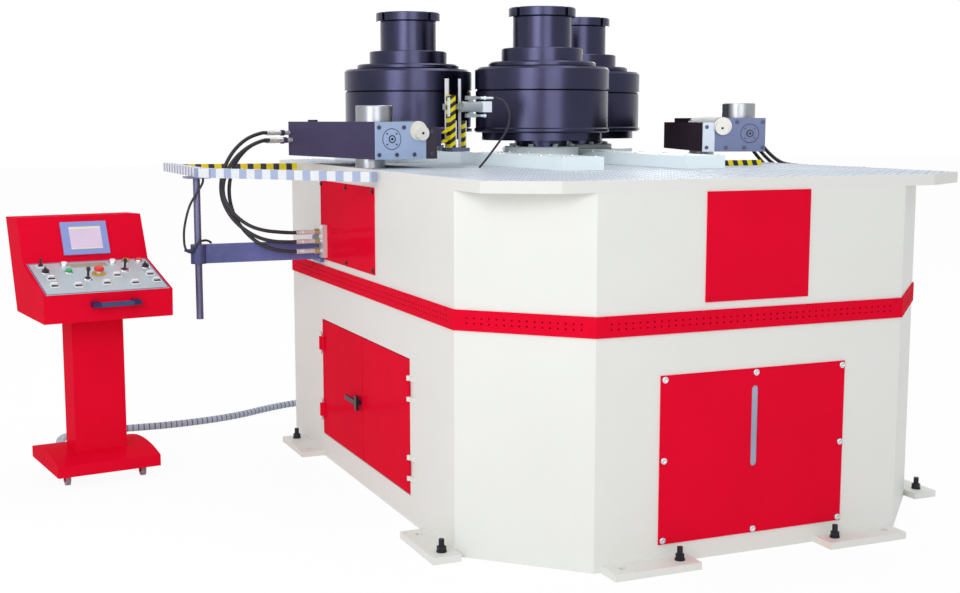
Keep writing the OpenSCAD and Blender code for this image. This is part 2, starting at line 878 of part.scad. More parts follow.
// Carriage of the right side roll, with its neck, motor and piston rod
module carriage() {
    color(dark) translate([side_roll_x, side_roll_y, 0]) {
        difference() {
            union() {
                block([-carriage_w / 2, -carriage_d / 2, housing_z], [carriage_w, carriage_d, housing_h]);
                rod_z([0, 0, housing_z + housing_h - over], neck_r, plate_z - housing_z - housing_h + over);
                drive_motor();
            }
            shaft_bore();
        }
        rod_y([0, -carriage_d / 2 - slide_in - slide_out - 160, rod_z], rod_r,
            slide_in + slide_out + 160);
    }
}

module right_carriage() {
    carriage();
}

module left_carriage() {
    mirror([1, 0, 0]) carriage();
}

module slide_cylinders() {
    lug = 120;
    color(steel) for (s = [-1, 1]) difference() {
        union() {
            rod_y([s * side_roll_x, barrel_back - barrel_len, rod_z], barrel_r, barrel_len);
            block([s * side_roll_x - lug / 2, barrel_back - lug, rod_z], [lug, lug, table_z - rod_z]);
            block([s * side_roll_x - lug / 2, barrel_back - barrel_len, rod_z], [lug, lug, table_z - rod_z]);
        }
        rod_y([s * side_roll_x, barrel_back - barrel_len + 20, rod_z], rod_r + run_fit, barrel_len);
    }
}

// Slide plate of the right side roll: a narrow tongue to the front, wide under the roll
module slide_plate() {
    wide = 2 * (side_roll_x - slide_x);
    wide_front = side_roll_y - 430;
    wide_back = side_roll_y + 335;
    color(pale) difference() {
        union() {
            translate([0, 0, plate_z]) linear_extrude(slide_t) polygon([
                [slide_x, -tongue_front], [slide_x + tongue_w, -tongue_front],
                [slide_x + tongue_w, wide_front], [slide_x + wide, wide_front + wide - tongue_w],
                [slide_x + wide, wide_back], [slide_x, wide_back]
            ]);
            translate([side_roll_x, side_roll_y, plate_top]) roll_boss(boss_top - plate_top);
        }
        rod_z([side_roll_x, side_roll_y, top_z], shaft_r + 2, boss_h + 20);
    }
}

module right_slide_plate() {
    slide_plate();
}

module left_slide_plate() {
    mirror([1, 0, 0]) slide_plate();
}

// Lateral guides

module on_left_guide() {
    translate(left_guide_at) rotate([0, 0, left_turn]) children();
}

module on_right_guide() {
    translate(right_guide_at) rotate([0, 0, -right_turn]) mirror([1, 0, 0]) children();
}

// A post on the table, under an arm that is raised by the given height
module guide_post(at, raise) {
    rod_z([at[0], at[1], top_z - raise], post_r, arm_lift + raise - face_gap);
    rod_z([at[0], at[1], top_z - raise], pivot_r, arm_lift + raise + pin_depth - 2);
}

module guide_posts() {
    color(steel) {
        on_left_guide() guide_post(left_post, 0);
        on_right_guide() guide_post(right_post, right_raise);
    }
}

module guide_arm(post, measured) {
    color(dark) difference() {
        union() {
            block([-arm_out, -arm_front, arm_z], [arm_out + face_in, arm_l, arm_h]);
            block([face_in - over, -arm_front, arm_z], [arm_in - face_in + over, arm_l, arm_h - arm_step]);
            if (measured) block([arm_in - over, meter_y - 25, meter_z + 8], [meter_clamp + over, 50, 74]);
        }
        rod_z([post[0], post[1], arm_z - over], pivot_r + run_fit, pin_depth + over);
        rod_z([0, 0, arm_top - pin_depth], pivot_r + run_fit, pin_depth + over);
        rod_y([cyl_x, -arm_front - over, cyl_z], guide_cyl_r + run_fit, cyl_len + over);
        block([cyl_x, -arm_front - over, cyl_z], [face_in - cyl_x, cyl_len + over, arm_top - cyl_z + over]);
        if (measured) for (z = meter_rods)
            rod_x([arm_in - meter_in, meter_y, z], meter_rod_r + run_fit, meter_in + meter_clamp + over);
    }
}

// Hose nipples on the outer side of the left guide, near its back end
module guide_nipples() {
    color(steel) for (n = nipples) translate([0, n[0], arm_z + n[1]]) {
        rod_x([-arm_out - fit_len, 0, 0], fit_r, fit_len + over);
        translate([-arm_out - 45, 0, 0]) rotate([0, 90, 0]) cylinder(r = fit_r + 3, h = 18, $fn = 6);
    }
}

// Face plate with its ringed cap, and the narrow strip plate beside the cylinder
module guide_face() {
    y = -arm_front - face_t;
    cap_z = arm_z + cap_at[1];
    strip_x = face_in + face_gap;
    color(pale) {
        difference() {
            union() {
                block([-arm_out, y, arm_z], [arm_out + face_in, face_t, arm_h]);
                block([strip_x, y, arm_z], [arm_in - strip_x, face_t, arm_h - arm_step]);
            }
            rod_y([cyl_x, y - over, cyl_z], guide_cyl_r - 1 + face_gap, face_t + 2 * over);
            block([cyl_x, y - over, cyl_z], [face_in - cyl_x, face_t + 2 * over, arm_top - cyl_z + over]);
            difference() {
                rod_y([cap_at[0], y - over, cap_z], 42.5, 2.5 + over);
                rod_y([cap_at[0], y - 2 * over, cap_z], 39.5, 2.5 + 3 * over);
            }
        }
        rod_y([cap_at[0], y - 3, cap_z], 16, 3 + over);
    }
}

module guide_roller() {
    color(steel) {
        translate([0, 0, arm_top + face_gap]) rotate_extrude($fn = 96) polygon([
            [0, 0], [guide_roller_r, 0], [guide_roller_r, guide_roller_h - 3],
            [guide_roller_r - 3, guide_roller_h], [0, guide_roller_h]
        ]);
        rod_z([0, 0, arm_top - pin_depth + 2], pivot_r, pin_depth);
    }
}

module guide_cylinder() {
    front = -arm_front - face_t - 4;
    color(steel) {
        rod_y([cyl_x, -arm_front, cyl_z], guide_cyl_r, cyl_len - 2);
        rod_y([cyl_x, front, cyl_z], guide_cyl_r - 1, face_t + 4);
        rod_y([cyl_x + 8, front - 20, cyl_z - 9], 29, 20);
    }
}

module left_guide_arm() {
    on_left_guide() {
        guide_arm(left_post, true);
        guide_nipples();
    }
}

module left_guide_face() {
    on_left_guide() guide_face();
}

module left_guide_roller() {
    on_left_guide() guide_roller();
}

module left_guide_cylinder() {
    on_left_guide() guide_cylinder();
}

module right_guide_arm() {
    on_right_guide() {
        guide_arm(right_post, false);
        guide_hose_block();
    }
}

// Hose block with its three outlets on the right guide's outer side
module guide_hose_block() {
    out_x = -arm_out - hose_block[0] / 2;
    color(steel) {
        translate([-arm_out - hose_block[0], hose_block_at[0], arm_z + hose_block_at[1]])
            cube(hose_block + [over, 0, 0]);
        for (z = hose_block_outs)
            rod_y([out_x, hose_block_at[0] - 30, arm_z + z], fit_r, 30 + over);
    }
}

module right_guide_face() {
    on_right_guide() guide_face();
}

module right_guide_roller() {
    on_right_guide() guide_roller();
}

module right_guide_cylinder() {
    on_right_guide() guide_cylinder();
}

// Striped bracket on two rods that slide in the left guide's inner side
module meter_bracket() {
    color([0.95, 0.85, 0.1]) on_left_guide() {
        for (z = meter_rods)
            rod_x([arm_in - meter_in + 2, meter_y, z], meter_rod_r, meter_x - arm_in + meter_in + 8);
        block([meter_x, meter_y - 35, meter_z - 16], [meter_w, 80, 16]);
        block([meter_x, meter_y - 18, meter_z - over], [26, 33, 215 + over]);
        block([meter_x + 70, meter_y - 10, meter_z - over], [10, 20, 111 + over]);
        for (m = masts) rod_z([m[0], mast_y, meter_z - over], m[1], mast_top - meter_z + over);
    }
}

// Small cylinder with its end block, clamped on the two masts
module meter_head() {
    color(steel) on_left_guide() difference() {
        union() {
            block([meter_x, mast_y - 11, head_z - 12], [88, 23, 24]);
            block([meter_x + 32, head_y + 7, head_z - 10], [32, 60, 20]);
            rod_x([meter_x + 36, head_y, head_z], 21, 94);
            block([meter_x + 128, head_y - 20, head_z - 22], [44, 40, 44]);
            for (d = [-36, 36]) translate([meter_x, head_y, head_z + d]) {
                block([58, -8, -8], [46, 16, 16]);
                block([72, -6, d < 0 ? 0 : -30], [18, 12, 30]);
                rod_x([90, 0, 0], 5, 58);
                translate([150, 0, 0]) sphere(8);
            }
            rod_x([meter_x + 150, head_y, head_z + 36], 4.5, 40);
        }
        for (m = masts) rod_z([m[0], mast_y, head_z - 60], m[1] + run_fit, 120);
    }
}

// Height-adjustable work support

module support_arm() {
    low = support_arm_z - support_arm_h / 2;
    color(dark) difference() {
        union() {
            block([support_x, support_y - 7, low], [left_face - cover_t - support_x, 14, support_arm_h]);
            rod_z([support_x, support_y, low], boss_out_r, support_arm_h);
            block([left_face - cover_t - 14, support_y - 13, low - 15], [14, 120, support_arm_h + 30]);
            rod_x([support_x - boss_out_r - 26, support_y, low + support_arm_h * 0.7], 6, 30);
        }
        rod_z([support_x, support_y, low - over], support_d / 2 + run_fit, support_arm_h + 2 * over);
    }
}

module support_post() {
    color(dark) {
        rod_z([support_x, support_y, support_low], support_d / 2, bar_z - support_low - 8);
        block([support_x - 48, support_y - 48, bar_z - 8], [96, 96, 8]);
    }
}

module support_frame() {
    color(pale) translate([0, 0, bar_z]) linear_extrude(bar_h) {
        flat_bar(frame_near, frame_knee, bar_w);
        flat_bar(frame_knee, frame_tail, bar_w);
        flat_bar(frame_back, frame_root, bar_w);
    }
}

// Hose outlets, cable glands and cords

module hose_fittings() {
    low = min(outlet_z) - 30;
    color(steel) {
        block([left_face - outlet_block, outlet_y - 28, low],
            [outlet_block - cover_t, 56, max(outlet_z) + 30 - low]);
        for (z = outlet_z) {
            rod_x([left_face - outlet_len, outlet_y, z], fit_r, outlet_len - outlet_block);
            translate([left_face - outlet_block - 30, outlet_y, z]) rotate([0, 90, 0])
                cylinder(r = fit_r + 4, h = 22, $fn = 6);
        }
        block([-left_face + seat_gap, edge_block_y, top_z - edge_block[2]], edge_block);
        translate([gland_x, casing_d / 2, gland_z]) rotate([-90, 0, 0]) difference() {
            union() {
                cylinder(r = cable_d / 2 + 12, h = 10);
                cylinder(r = cable_d / 2 + 6, h = gland_len);
            }
            translate([0, 0, -over]) cylinder(r = cable_d / 2 - 4, h = gland_len + 2 * over);
        }
    }
}

module left_hoses() {
    color(hose_black) for (route = left_hose_routes) tube(route, hose_d, [0, 1, 0]);
}

module right_hoses() {
    color(hose_black) for (route = right_hose_routes) tube(route, hose_d, [0, 0, 1]);
}

module meter_cable() {
    color(hose_black) tube(meter_cable_route, meter_cable_d, [0.9, -0.4, 0.1]);
}

module support_cable() {
    color(hose_black) tube(support_cable_route, support_cable_d, [0.3, 1, 0.2]);
}

module console_cable() {
    color(pale) tube(cable_route, cable_d, [0, 0, 1], 10);
}

// Control console

module on_console() {
    translate([-console_x, console_y, 0]) rotate([0, 0, console_turn]) children();
}

// Extrudes a side profile given in Y and Z along X, centred
module across(w) {
    translate([-w / 2, 0, 0]) rotate([90, 0, 90]) linear_extrude(w) children();
}

crown_half = console_base_d / 2;
crown_r = (crown_half * crown_half + base_crown * base_crown) / (2 * base_crown);

module console_base() {
    foot_z = base_rim + base_crown * 0.7;
    color(red) on_console() difference() {
        across(console_base_w) {
            translate([-crown_half, base_low]) square([2 * crown_half, base_rim - base_low]);
            intersection() {
                translate([0, base_rim + base_crown - crown_r]) circle(crown_r, $fn = 180);
                translate([-crown_half, base_rim - over]) square([2 * crown_half, base_crown + 2 * over]);
            }
        }
        block([-pedestal_w / 2, ped_front, foot_z], [pedestal_w, pedestal_d, base_crown]);
    }
    color(dark) on_console() {
        for (x = [-wheel_x, wheel_x], y = [-wheel_y, wheel_y]) translate([x, y, 0]) caster_fork();
        rod_y([0, crown_half - over, base_low + 24], cable_d / 2 + 3, 29);
    }
}

// Two cheeks and the axle of one caster
module caster_fork() {
    cheek = 4;
    side = wheel_w / 2 + face_gap;
    for (s = [-1, 1])
        block([s * (side + cheek / 2) - cheek / 2, -10, wheel_d / 2 - 8],
            [cheek, 20, base_low - wheel_d / 2 + 8]);
    rod_x([-side, 0, wheel_d / 2], 4, 2 * side);
}

module console_pedestal() {
    foot_z = base_rim + base_crown * 0.7;
    color(red) on_console() difference() {
        block([-pedestal_w / 2, ped_front, foot_z], [pedestal_w, pedestal_d, console_box_z - foot_z]);
        block([-pedestal_w / 2 + console_wall, ped_front + console_wall, foot_z - over],
            [pedestal_w - 2 * console_wall, pedestal_d - 2 * console_wall,
                console_box_z - foot_z + 2 * over]);
    }
}

// Places children on the sloping deck: X across, Y from its front edge up, Z out of it
module on_deck() {
    on_console() translate([0, deck_low[0], deck_low[1]]) rotate([deck_tilt, 0, 0]) children();
}

// Places children at a share of the deck's width and of its depth from the back
module at_deck(place) {
    on_deck() translate([(place[0] - 0.5) * console_w, (1 - place[1]) * deck_len, 0]) children();
}

well_deep = 40;

module console_box() {
    color(red) difference() {
        on_console() difference() {
            across(console_w) polygon(box_profile);
            across(console_w - 2 * console_wall) offset(delta = -console_wall) polygon(box_profile);
        }
        for (place = moving_places) at_deck(place) rod_z([0, 0, -well_deep], knob_r + 4, well_deep + 20);
    }
}

module console_deck() {
    w = console_w - 2 * deck_margin;
    color(steel) {
        difference() {
            on_deck() block([-w / 2, 4, 0], [w, deck_len - 8, deck_t]);
            at_deck(estop_at) rod_z([0, 0, -over], button_r + run_fit, 20);
            at_deck(green_at) rod_z([0, 0, -over], button_r + run_fit, 20);
            for (p = [left_knob_at, right_knob_at]) at_deck(p) rod_z([0, 0, -over], button_r + run_fit, 20);
            for (p = [left_stick_at, right_stick_at]) at_deck(p)
                block([-stick_w / 2, -button_r, -over], [stick_w, 2 * button_r, 20]);
        }
        at_deck(estop_at) translate([0, 0, deck_t]) turned_ring(button_r + 2, 27, 4, 1);
        for (p = lamp_places) at_deck(p) translate([0, 0, deck_t]) turned_button(13, 12);
        for (p = switch_places) at_deck(p) block([-15, -11, deck_t], [30, 22, 6]);
    }
}

// A low button with a chamfered rim
module turned_button(r, h) {
    rotate_extrude() polygon([[0, 0], [r, 0], [r, h - 2], [r - 2, h], [0, h]]);
}

module console_screen() {
    color([0.45, 0.5, 0.75]) on_console() translate([0, deck_high[0], deck_high[1]])
        rotate([screen_tilt, 0, 0])
            block([-screen_size[0] / 2 + 6, screen_len / 2 - screen_size[1] / 2, 0],
                [screen_size[0], screen_size[1], 8]);
}

module console_handle() {
    z = console_box_z + 70;
    wide = 193;
    out = 38;
    color([0.1, 0.12, 0.3]) on_console() translate([20, box_profile[0][0] - 4, z]) {
        for (s = [-1, 1]) block([s * (wide / 2 - 15) - 15, -out, -11], [30, out, 22]);
        block([-wide / 2, -out - 12, -9], [wide, 12, 18]);
    }
}

// Red mushroom head on its stem, and the green start button
module stop_button() {
    color(red) at_deck(estop_at) {
        rod_z([0, 0, -12], button_r, 12 + deck_t + 14);
        translate([0, 0, deck_t + 14]) rotate_extrude() polygon([
            [0, 0], [14, 0], [20, 5], [20, 12], [16, 17], [0, 19]
        ]);
    }
}

module green_button() {
    color([0.1, 0.6, 0.2]) at_deck(green_at) {
        rod_z([0, 0, -12], button_r, 12 + deck_t + 6);
        translate([0, 0, deck_t + 6]) turned_button(13, 8);
    }
}

module selector_knob(place) {
    color(dark) at_deck(place) {
        rod_z([0, 0, -12], button_r, 12 + deck_t + face_gap);
        translate([0, 0, deck_t + face_gap]) turned_button(knob_r, 14);
        block([-3, -knob_r, deck_t + 14], [6, 2 * knob_r, 8]);
    }
}

module left_selector() {
    selector_knob(left_knob_at);
}

module right_selector() {
    selector_knob(right_knob_at);
}

module joystick(place) {
    color(dark) at_deck(place) {
        rod_z([0, 0, -10], 5, 55);
        rod_x([-stick_w / 2 + run_fit, 0, deck_t / 2], button_r - run_fit, stick_w - 2 * run_fit);
        rotate_extrude() polygon([[0, 38], [6, 38], [9, 46], [8, 54], [4, 57], [0, 57]]);
    }
}

module left_joystick() {
    joystick(left_stick_at);
}

module right_joystick() {
    joystick(right_stick_at);
}

module wheel_pair(y) {
    color(steel) on_console() for (x = [-wheel_x, wheel_x])
        translate([x, y, wheel_d / 2]) rotate([0, 90, 0]) difference() {
            translate([0, 0, -wheel_w / 2]) cylinder(r = wheel_d / 2, h = wheel_w);
            translate([0, 0, -wheel_w]) cylinder(r = 4 + run_fit, h = 2 * wheel_w);
        }
}

module front_wheels() {
    wheel_pair(-wheel_y);
}

module back_wheels() {
    wheel_pair(wheel_y);
}

lower_casing();
upper_casing();
belt();
table_plate();
levelling_bolts();
cover_panels();
sight_glass();
front_door_leaf();
back_door_leaf();
door_handle();
hydraulic_unit();
center_housing();
center_shaft();
center_spacers();
center_dies();
slide_cylinders();
left_carriage();
left_slide_plate();
left_shaft();
left_spacers();
left_dies();
right_carriage();
right_slide_plate();
right_shaft();
right_spacers();
right_dies();
guide_posts();
left_guide_arm();
left_guide_face();
left_guide_roller();
left_guide_cylinder();
right_guide_arm();
right_guide_face();
right_guide_roller();
right_guide_cylinder();
meter_bracket();
meter_head();
support_arm();
support_post();
support_frame();
hose_fittings();
left_hoses();
right_hoses();
meter_cable();
support_cable();
console_cable();
console_base();
console_pedestal();
console_box();
console_deck();
console_screen();
console_handle();
stop_button();
green_button();
left_selector();
right_selector();
left_joystick();
right_joystick();
front_wheels();
back_wheels();
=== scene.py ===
import math

import bmesh
import bpy
from mathutils import Matrix, Vector, kdtree


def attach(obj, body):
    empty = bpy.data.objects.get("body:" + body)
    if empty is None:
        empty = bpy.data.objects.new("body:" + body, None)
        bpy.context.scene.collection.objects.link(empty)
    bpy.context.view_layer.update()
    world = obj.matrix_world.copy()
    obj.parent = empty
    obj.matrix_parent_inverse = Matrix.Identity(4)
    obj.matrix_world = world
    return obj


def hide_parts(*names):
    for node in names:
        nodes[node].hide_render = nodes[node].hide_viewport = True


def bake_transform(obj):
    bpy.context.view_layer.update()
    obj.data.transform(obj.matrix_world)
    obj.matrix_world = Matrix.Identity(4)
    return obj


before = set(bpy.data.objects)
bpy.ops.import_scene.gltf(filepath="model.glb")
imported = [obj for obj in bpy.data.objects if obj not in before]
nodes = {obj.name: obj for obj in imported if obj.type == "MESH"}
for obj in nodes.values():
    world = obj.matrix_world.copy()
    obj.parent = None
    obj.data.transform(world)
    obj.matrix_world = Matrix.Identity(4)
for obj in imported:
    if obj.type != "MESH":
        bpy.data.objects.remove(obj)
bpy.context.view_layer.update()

# Studio: the camera stands at eye height in front of the left corner, as in the photograph.
# A pale floor and white surroundings, with three soft lamps at a plain level and three large
# boxes that only add highlights to glossy surfaces.
eye, eye_tilt, eye_turn = (-2.687, -5.228, 1.5), 82.57, -23.2
camera = bpy.data.objects.new("camera", bpy.data.cameras.new("camera"))
camera.data.lens = 50.96
camera.data.sensor_width = 36.0
camera.data.clip_end = 100.0
camera.location = eye
camera.rotation_euler = (math.radians(eye_tilt), 0.0, math.radians(eye_turn))
bpy.context.collection.objects.link(camera)
bpy.context.scene.camera = camera
bpy.context.scene.view_settings.view_transform = "Standard"


def soft_lamp(name, place, aim, size, watts, tall=None):
    """A round softbox, or with a height a rectangular one that only shows in reflections."""
    lamp = bpy.data.objects.new(name, bpy.data.lights.new(name, "AREA"))
    lamp.data.shape = "RECTANGLE" if tall else "DISK"
    lamp.data.size = size
    if tall:
        lamp.data.size_y = tall
        lamp.visible_diffuse = False
    lamp.data.energy = watts
    lamp.location = place
    lamp.rotation_euler = (Vector(aim) - Vector(place)).to_track_quat("-Z", "Y").to_euler()
    bpy.context.collection.objects.link(lamp)


roll_middle, box_height = (0.0, 0.4, 1.6), 4.2
soft_lamp("front_lamp", (-5.2, -6.2, 3.6), (-0.5, -0.8, 0.9), 3.4, 170.0)
soft_lamp("left_lamp", (-6.0, -1.6, 3.6), (-0.8, 0.2, 0.9), 3.0, 25.0)
soft_lamp("top_lamp", (1.2, 1.2, 6.5), (0.0, 0.3, 1.2), 3.2, 80.0)
soft_lamp("left_box", (-6.6, -4.9, 2.4), roll_middle, 3.0, 150.0, tall=box_height)
soft_lamp("right_box", (-0.9, -8.2, 2.4), roll_middle, 4.2, 190.0, tall=box_height)
soft_lamp("back_box", (3.4, 7.6, 2.6), roll_middle, 4.0, 170.0, tall=box_height)


def set_sockets(shader, **values):
    """Sets a shader's inputs by name, with _ for a space."""
    for key, value in values.items():
        shader.inputs[key.replace("_", " ")].default_value = value


def reckon(tree, operation, first, second=0.0):
    """A math node on a socket and a second socket or a number."""
    node = tree.nodes.new("ShaderNodeMath")
    node.operation = operation
    tree.links.new(first, node.inputs[0])
    if isinstance(second, float):
        node.inputs[1].default_value = second
    else:
        tree.links.new(second, node.inputs[1])
    return node.outputs[0]


def white_to_the_eye(tree, lit, white, share, output):
    """Shows a white shader to the camera, metal and glass, and the lit one to all other light."""
    path = tree.nodes.new("ShaderNodeLightPath")
    seen = path.outputs["Is Camera Ray"]
    for ray in ("Is Glossy Ray", "Is Transmission Ray"):
        seen = reckon(tree, "MAXIMUM", seen, path.outputs[ray])
    mix = tree.nodes.new("ShaderNodeMixShader")
    tree.links.new(reckon(tree, "MULTIPLY", seen, share), mix.inputs[0])
    tree.links.new(lit.outputs[0], mix.inputs[1])
    tree.links.new(white.outputs[0], mix.inputs[2])
    tree.links.new(mix.outputs[0], tree.nodes.new(output).inputs[0])


world = bpy.data.worlds.new("studio")
world.use_nodes = True
bpy.context.scene.world = world
tree = world.node_tree
tree.nodes.clear()
ambient = tree.nodes.new("ShaderNodeBackground")
set_sockets(ambient, Color=(0.95, 0.97, 1.0, 1.0), Strength=0.74)
backdrop = tree.nodes.new("ShaderNodeBackground")
set_sockets(backdrop, Color=(1.0, 1.0, 1.0, 1.0), Strength=1.0)
white_to_the_eye(tree, ambient, backdrop, 1.0, "ShaderNodeOutputWorld")

floor_reach, floor_sink, floor_white = 40.0, 0.001, 0.93
floor_paint = bpy.data.materials.new("studio_floor")
floor_paint.use_nodes = True
tree = floor_paint.node_tree
tree.nodes.clear()
lit = tree.nodes.new("ShaderNodeBsdfDiffuse")
set_sockets(lit, Color=(0.86, 0.86, 0.86, 1.0))
glow = tree.nodes.new("ShaderNodeEmission")
set_sockets(glow, Strength=1.012)
white_to_the_eye(tree, lit, glow, floor_white, "ShaderNodeOutputMaterial")
bm = bmesh.new()
bmesh.ops.create_grid(bm, x_segments=1, y_segments=1, size=floor_reach)
floor_mesh = bpy.data.meshes.new("studio_floor")
bm.to_mesh(floor_mesh)
bm.free()
floor_mesh.materials.append(floor_paint)
studio_floor = bpy.data.objects.new("studio_floor", floor_mesh)
studio_floor.location.z = -floor_sink
bpy.context.collection.objects.link(studio_floor)


# Hoses and cables: black rubber hydraulic hoses from the guides to their outlets, thin plastic
# signal leads, and the cable bundle in a spiral wrap that runs over the floor from the console to
# the back of the casing.
def noise(tree, **values):
    """A noise pattern on the piece's own coordinates."""
    where = tree.nodes.new("ShaderNodeTexCoord")
    pattern = tree.nodes.new("ShaderNodeTexNoise")
    set_sockets(pattern, **values)
    tree.links.new(where.outputs["Object"], pattern.inputs["Vector"])
    return pattern.outputs["Fac"]


def coat(
    name, colour, rough, metal=0.0, mottle=0.06, peel=0.05, peel_scale=420.0, coat_weight=0.0,
    shine=0.3,
):
    """A sprayed or moulded surface: slightly uneven colour and gloss, with fine orange peel."""
    material = bpy.data.materials.new(name)
    material.use_nodes = True
    tree = material.node_tree
    shader = tree.nodes["Principled BSDF"]
    set_sockets(shader, Metallic=metal, Specular_IOR_Level=shine)
    set_sockets(shader, Coat_Weight=coat_weight, Coat_Roughness=0.12)
    tone = tree.nodes.new("ShaderNodeValToRGB")
    dark, light = tone.color_ramp.elements
    dark.position, light.position = 0.3, 0.7
    dark.color = tuple(c * (1.0 - mottle) for c in colour) + (1.0,)
    light.color = tuple(min(1.0, c * (1.0 + mottle)) for c in colour) + (1.0,)
    tree.links.new(noise(tree, Scale=3.2, Detail=6.0, Roughness=0.62), tone.inputs[0])
    tree.links.new(tone.outputs[0], shader.inputs["Base Color"])
    gloss = tree.nodes.new("ShaderNodeMapRange")
    set_sockets(gloss, To_Min=rough * 0.82, To_Max=rough * 1.18)
    tree.links.new(noise(tree, Scale=11.0, Detail=4.0), gloss.inputs["Value"])
    tree.links.new(gloss.outputs["Result"], shader.inputs["Roughness"])
    bump = tree.nodes.new("ShaderNodeBump")
    set_sockets(bump, Strength=peel, Distance=0.001)
    tree.links.new(noise(tree, Scale=peel_scale, Detail=2.0), bump.inputs["Height"])
    tree.links.new(bump.outputs[0], shader.inputs["Normal"])
    return material


def swept(points_mm, steps=5):
    """The smooth centreline through the route's points, in metres."""
    route = [Vector(p) / 1000.0 for p in points_mm]
    line = [route[0]]
    for i in range(len(route) - 1):
        before = route[max(i - 1, 0)]
        after = route[min(i + 2, len(route) - 1)]
        run = (route[i + 1] - route[i]).length
        lead = (route[i + 1] - before).normalized() * run
        tail = (after - route[i]).normalized() * run
        for k in range(1, steps + 1):
            t = k / steps
            line.append(
                (2 * t**3 - 3 * t**2 + 1) * route[i]
                + (t**3 - 2 * t**2 + t) * lead
                + (3 * t**2 - 2 * t**3) * route[i + 1]
                + (t**3 - t**2) * tail
            )
    return line


def lead_mesh(name, line, diameter, material):
    """A round lead along a centreline; each point keeps how far along it lies, for the pattern."""
    curve = bpy.data.curves.new(name, "CURVE")
    curve.dimensions = "3D"
    curve.bevel_depth = diameter / 2.0
    curve.bevel_resolution = 4
    curve.use_fill_caps = True
    spline = curve.splines.new("POLY")
    spline.points.add(len(line) - 1)
    for point, place in zip(spline.points, line):
        point.co = (*place, 1.0)
    shaper = bpy.data.objects.new(name + "_line", curve)
    bpy.context.collection.objects.link(shaper)
    bpy.context.view_layer.update()
    shaped = shaper.evaluated_get(bpy.context.evaluated_depsgraph_get())
    mesh = bpy.data.meshes.new_from_object(shaped)
    bpy.data.objects.remove(shaper)
    bpy.data.curves.remove(curve)
    mesh.name = name
    mesh.materials.clear()
    mesh.materials.append(material)
    tree = kdtree.KDTree(len(line))
    along = [0.0]
    for i, place in enumerate(line):
        tree.insert(place, i)
        if i:
            along.append(along[-1] + (place - line[i - 1]).length)
    tree.balance()
    reach = mesh.attributes.new("along", "FLOAT", "POINT")
    values = []
    for vertex in mesh.vertices:
        _, i, _ = tree.find(vertex.co)
        values.append(along[i])
    reach.data.foreach_set("value", values)
    for polygon in mesh.polygons:
        polygon.use_smooth = True
    piece = bpy.data.objects.new(name, mesh)
    bpy.context.collection.objects.link(piece)
    return piece


def laid_lead(name, points_mm, diameter, material, node):
    """Lays one cord along its route in place of its CAD tube."""
    line = swept(points_mm)
    piece = lead_mesh(name, line, diameter, material)
    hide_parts(node)
    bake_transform(piece)


hose_d, meter_lead_d, support_lead_d, console_lead_d = 0.016, 0.009, 0.010, 0.034
hose_cover = coat(
    "hose_rubber", (0.028, 0.027, 0.034), 0.5, mottle=0.25, peel=0.25, peel_scale=900.0
)
left_hose_routes = [
    [
        (-1188.2, 633.4, 1441), (-1209.9, 629.6, 1441), (-1273, 609, 1421), (-1324, 593, 1387),
        (-1366, 577, 1341), (-1397, 560, 1287), (-1414, 544, 1228), (-1415, 527, 1170),
        (-1398, 509, 1115), (-1366, 492, 1066), (-1321, 478, 1026), (-1267, 468, 996),
        (-1204, 464, 980), (-1132.4, 466, 975), (-1110.4, 466, 975),
    ],
    [
        (-1188.6, 635.4, 1406), (-1210.2, 631.6, 1406), (-1268, 613, 1383), (-1312, 601, 1347),
        (-1345, 589, 1302), (-1366, 576, 1250), (-1376, 562, 1194), (-1374, 545, 1138),
        (-1360, 527, 1085), (-1334, 509, 1037), (-1298, 492, 995), (-1253, 478, 964),
        (-1199, 468, 944), (-1132.4, 466, 933), (-1110.4, 466, 933),
    ],
    [
        (-1183.9, 608.8, 1410), (-1205.5, 605, 1410), (-1262, 585, 1392), (-1312, 567, 1364),
        (-1356, 549, 1326), (-1390, 531, 1279), (-1411, 514, 1229), (-1414, 497, 1177),
        (-1395, 483, 1128), (-1359, 471, 1084), (-1311, 463, 1050), (-1254, 460, 1030),
        (-1196, 461, 1021), (-1132.4, 466, 1015), (-1110.4, 466, 1015),
    ],
]
for number, route in enumerate(left_hose_routes):
    laid_lead(
        "left_hose_%d" % (number + 1), route, hose_d, hose_cover, "left_hoses",
    )
right_hose_routes = [
    [
        (997.2, 187.1, 1432), (990.9, 168.1, 1432), (974, 112, 1428), (963, 58, 1410),
        (962, 10, 1382), (970, -32, 1349), (981, -76, 1320), (986.5, -125, 1304), (987, -210, 1298),
        (987, -330, 1296), (987, -460, 1296), (987, -560, 1296), (987, -600.6, 1296),
    ],
    [
        (997.2, 187.1, 1410), (990.9, 168.1, 1410), (977, 120, 1404), (970, 72, 1382),
        (973, 30, 1350), (981, -10, 1320), (986, -55, 1297), (987, -110, 1284), (987, -200, 1280),
        (987, -330, 1279), (987, -460, 1279), (987, -560, 1279), (987, -600.6, 1279),
    ],
    [
        (997.2, 187.1, 1388), (990.9, 168.1, 1388), (980, 130, 1378), (976, 95, 1352),
        (982, 60, 1322), (987, 20, 1295), (988, -30, 1276), (988, -90, 1267), (987, -180, 1263),
        (987, -320, 1262), (987, -460, 1262), (987, -560, 1262), (987, -600.6, 1262),
    ],
]
for number, route in enumerate(right_hose_routes):
    laid_lead(
        "right_hose_%d" % (number + 1), route, hose_d, hose_cover, "right_hoses",
    )
lead_cover = coat("lead_cover", (0.022, 0.020, 0.030), 0.42, mottle=0.2, peel=0.1, peel_scale=700.0)
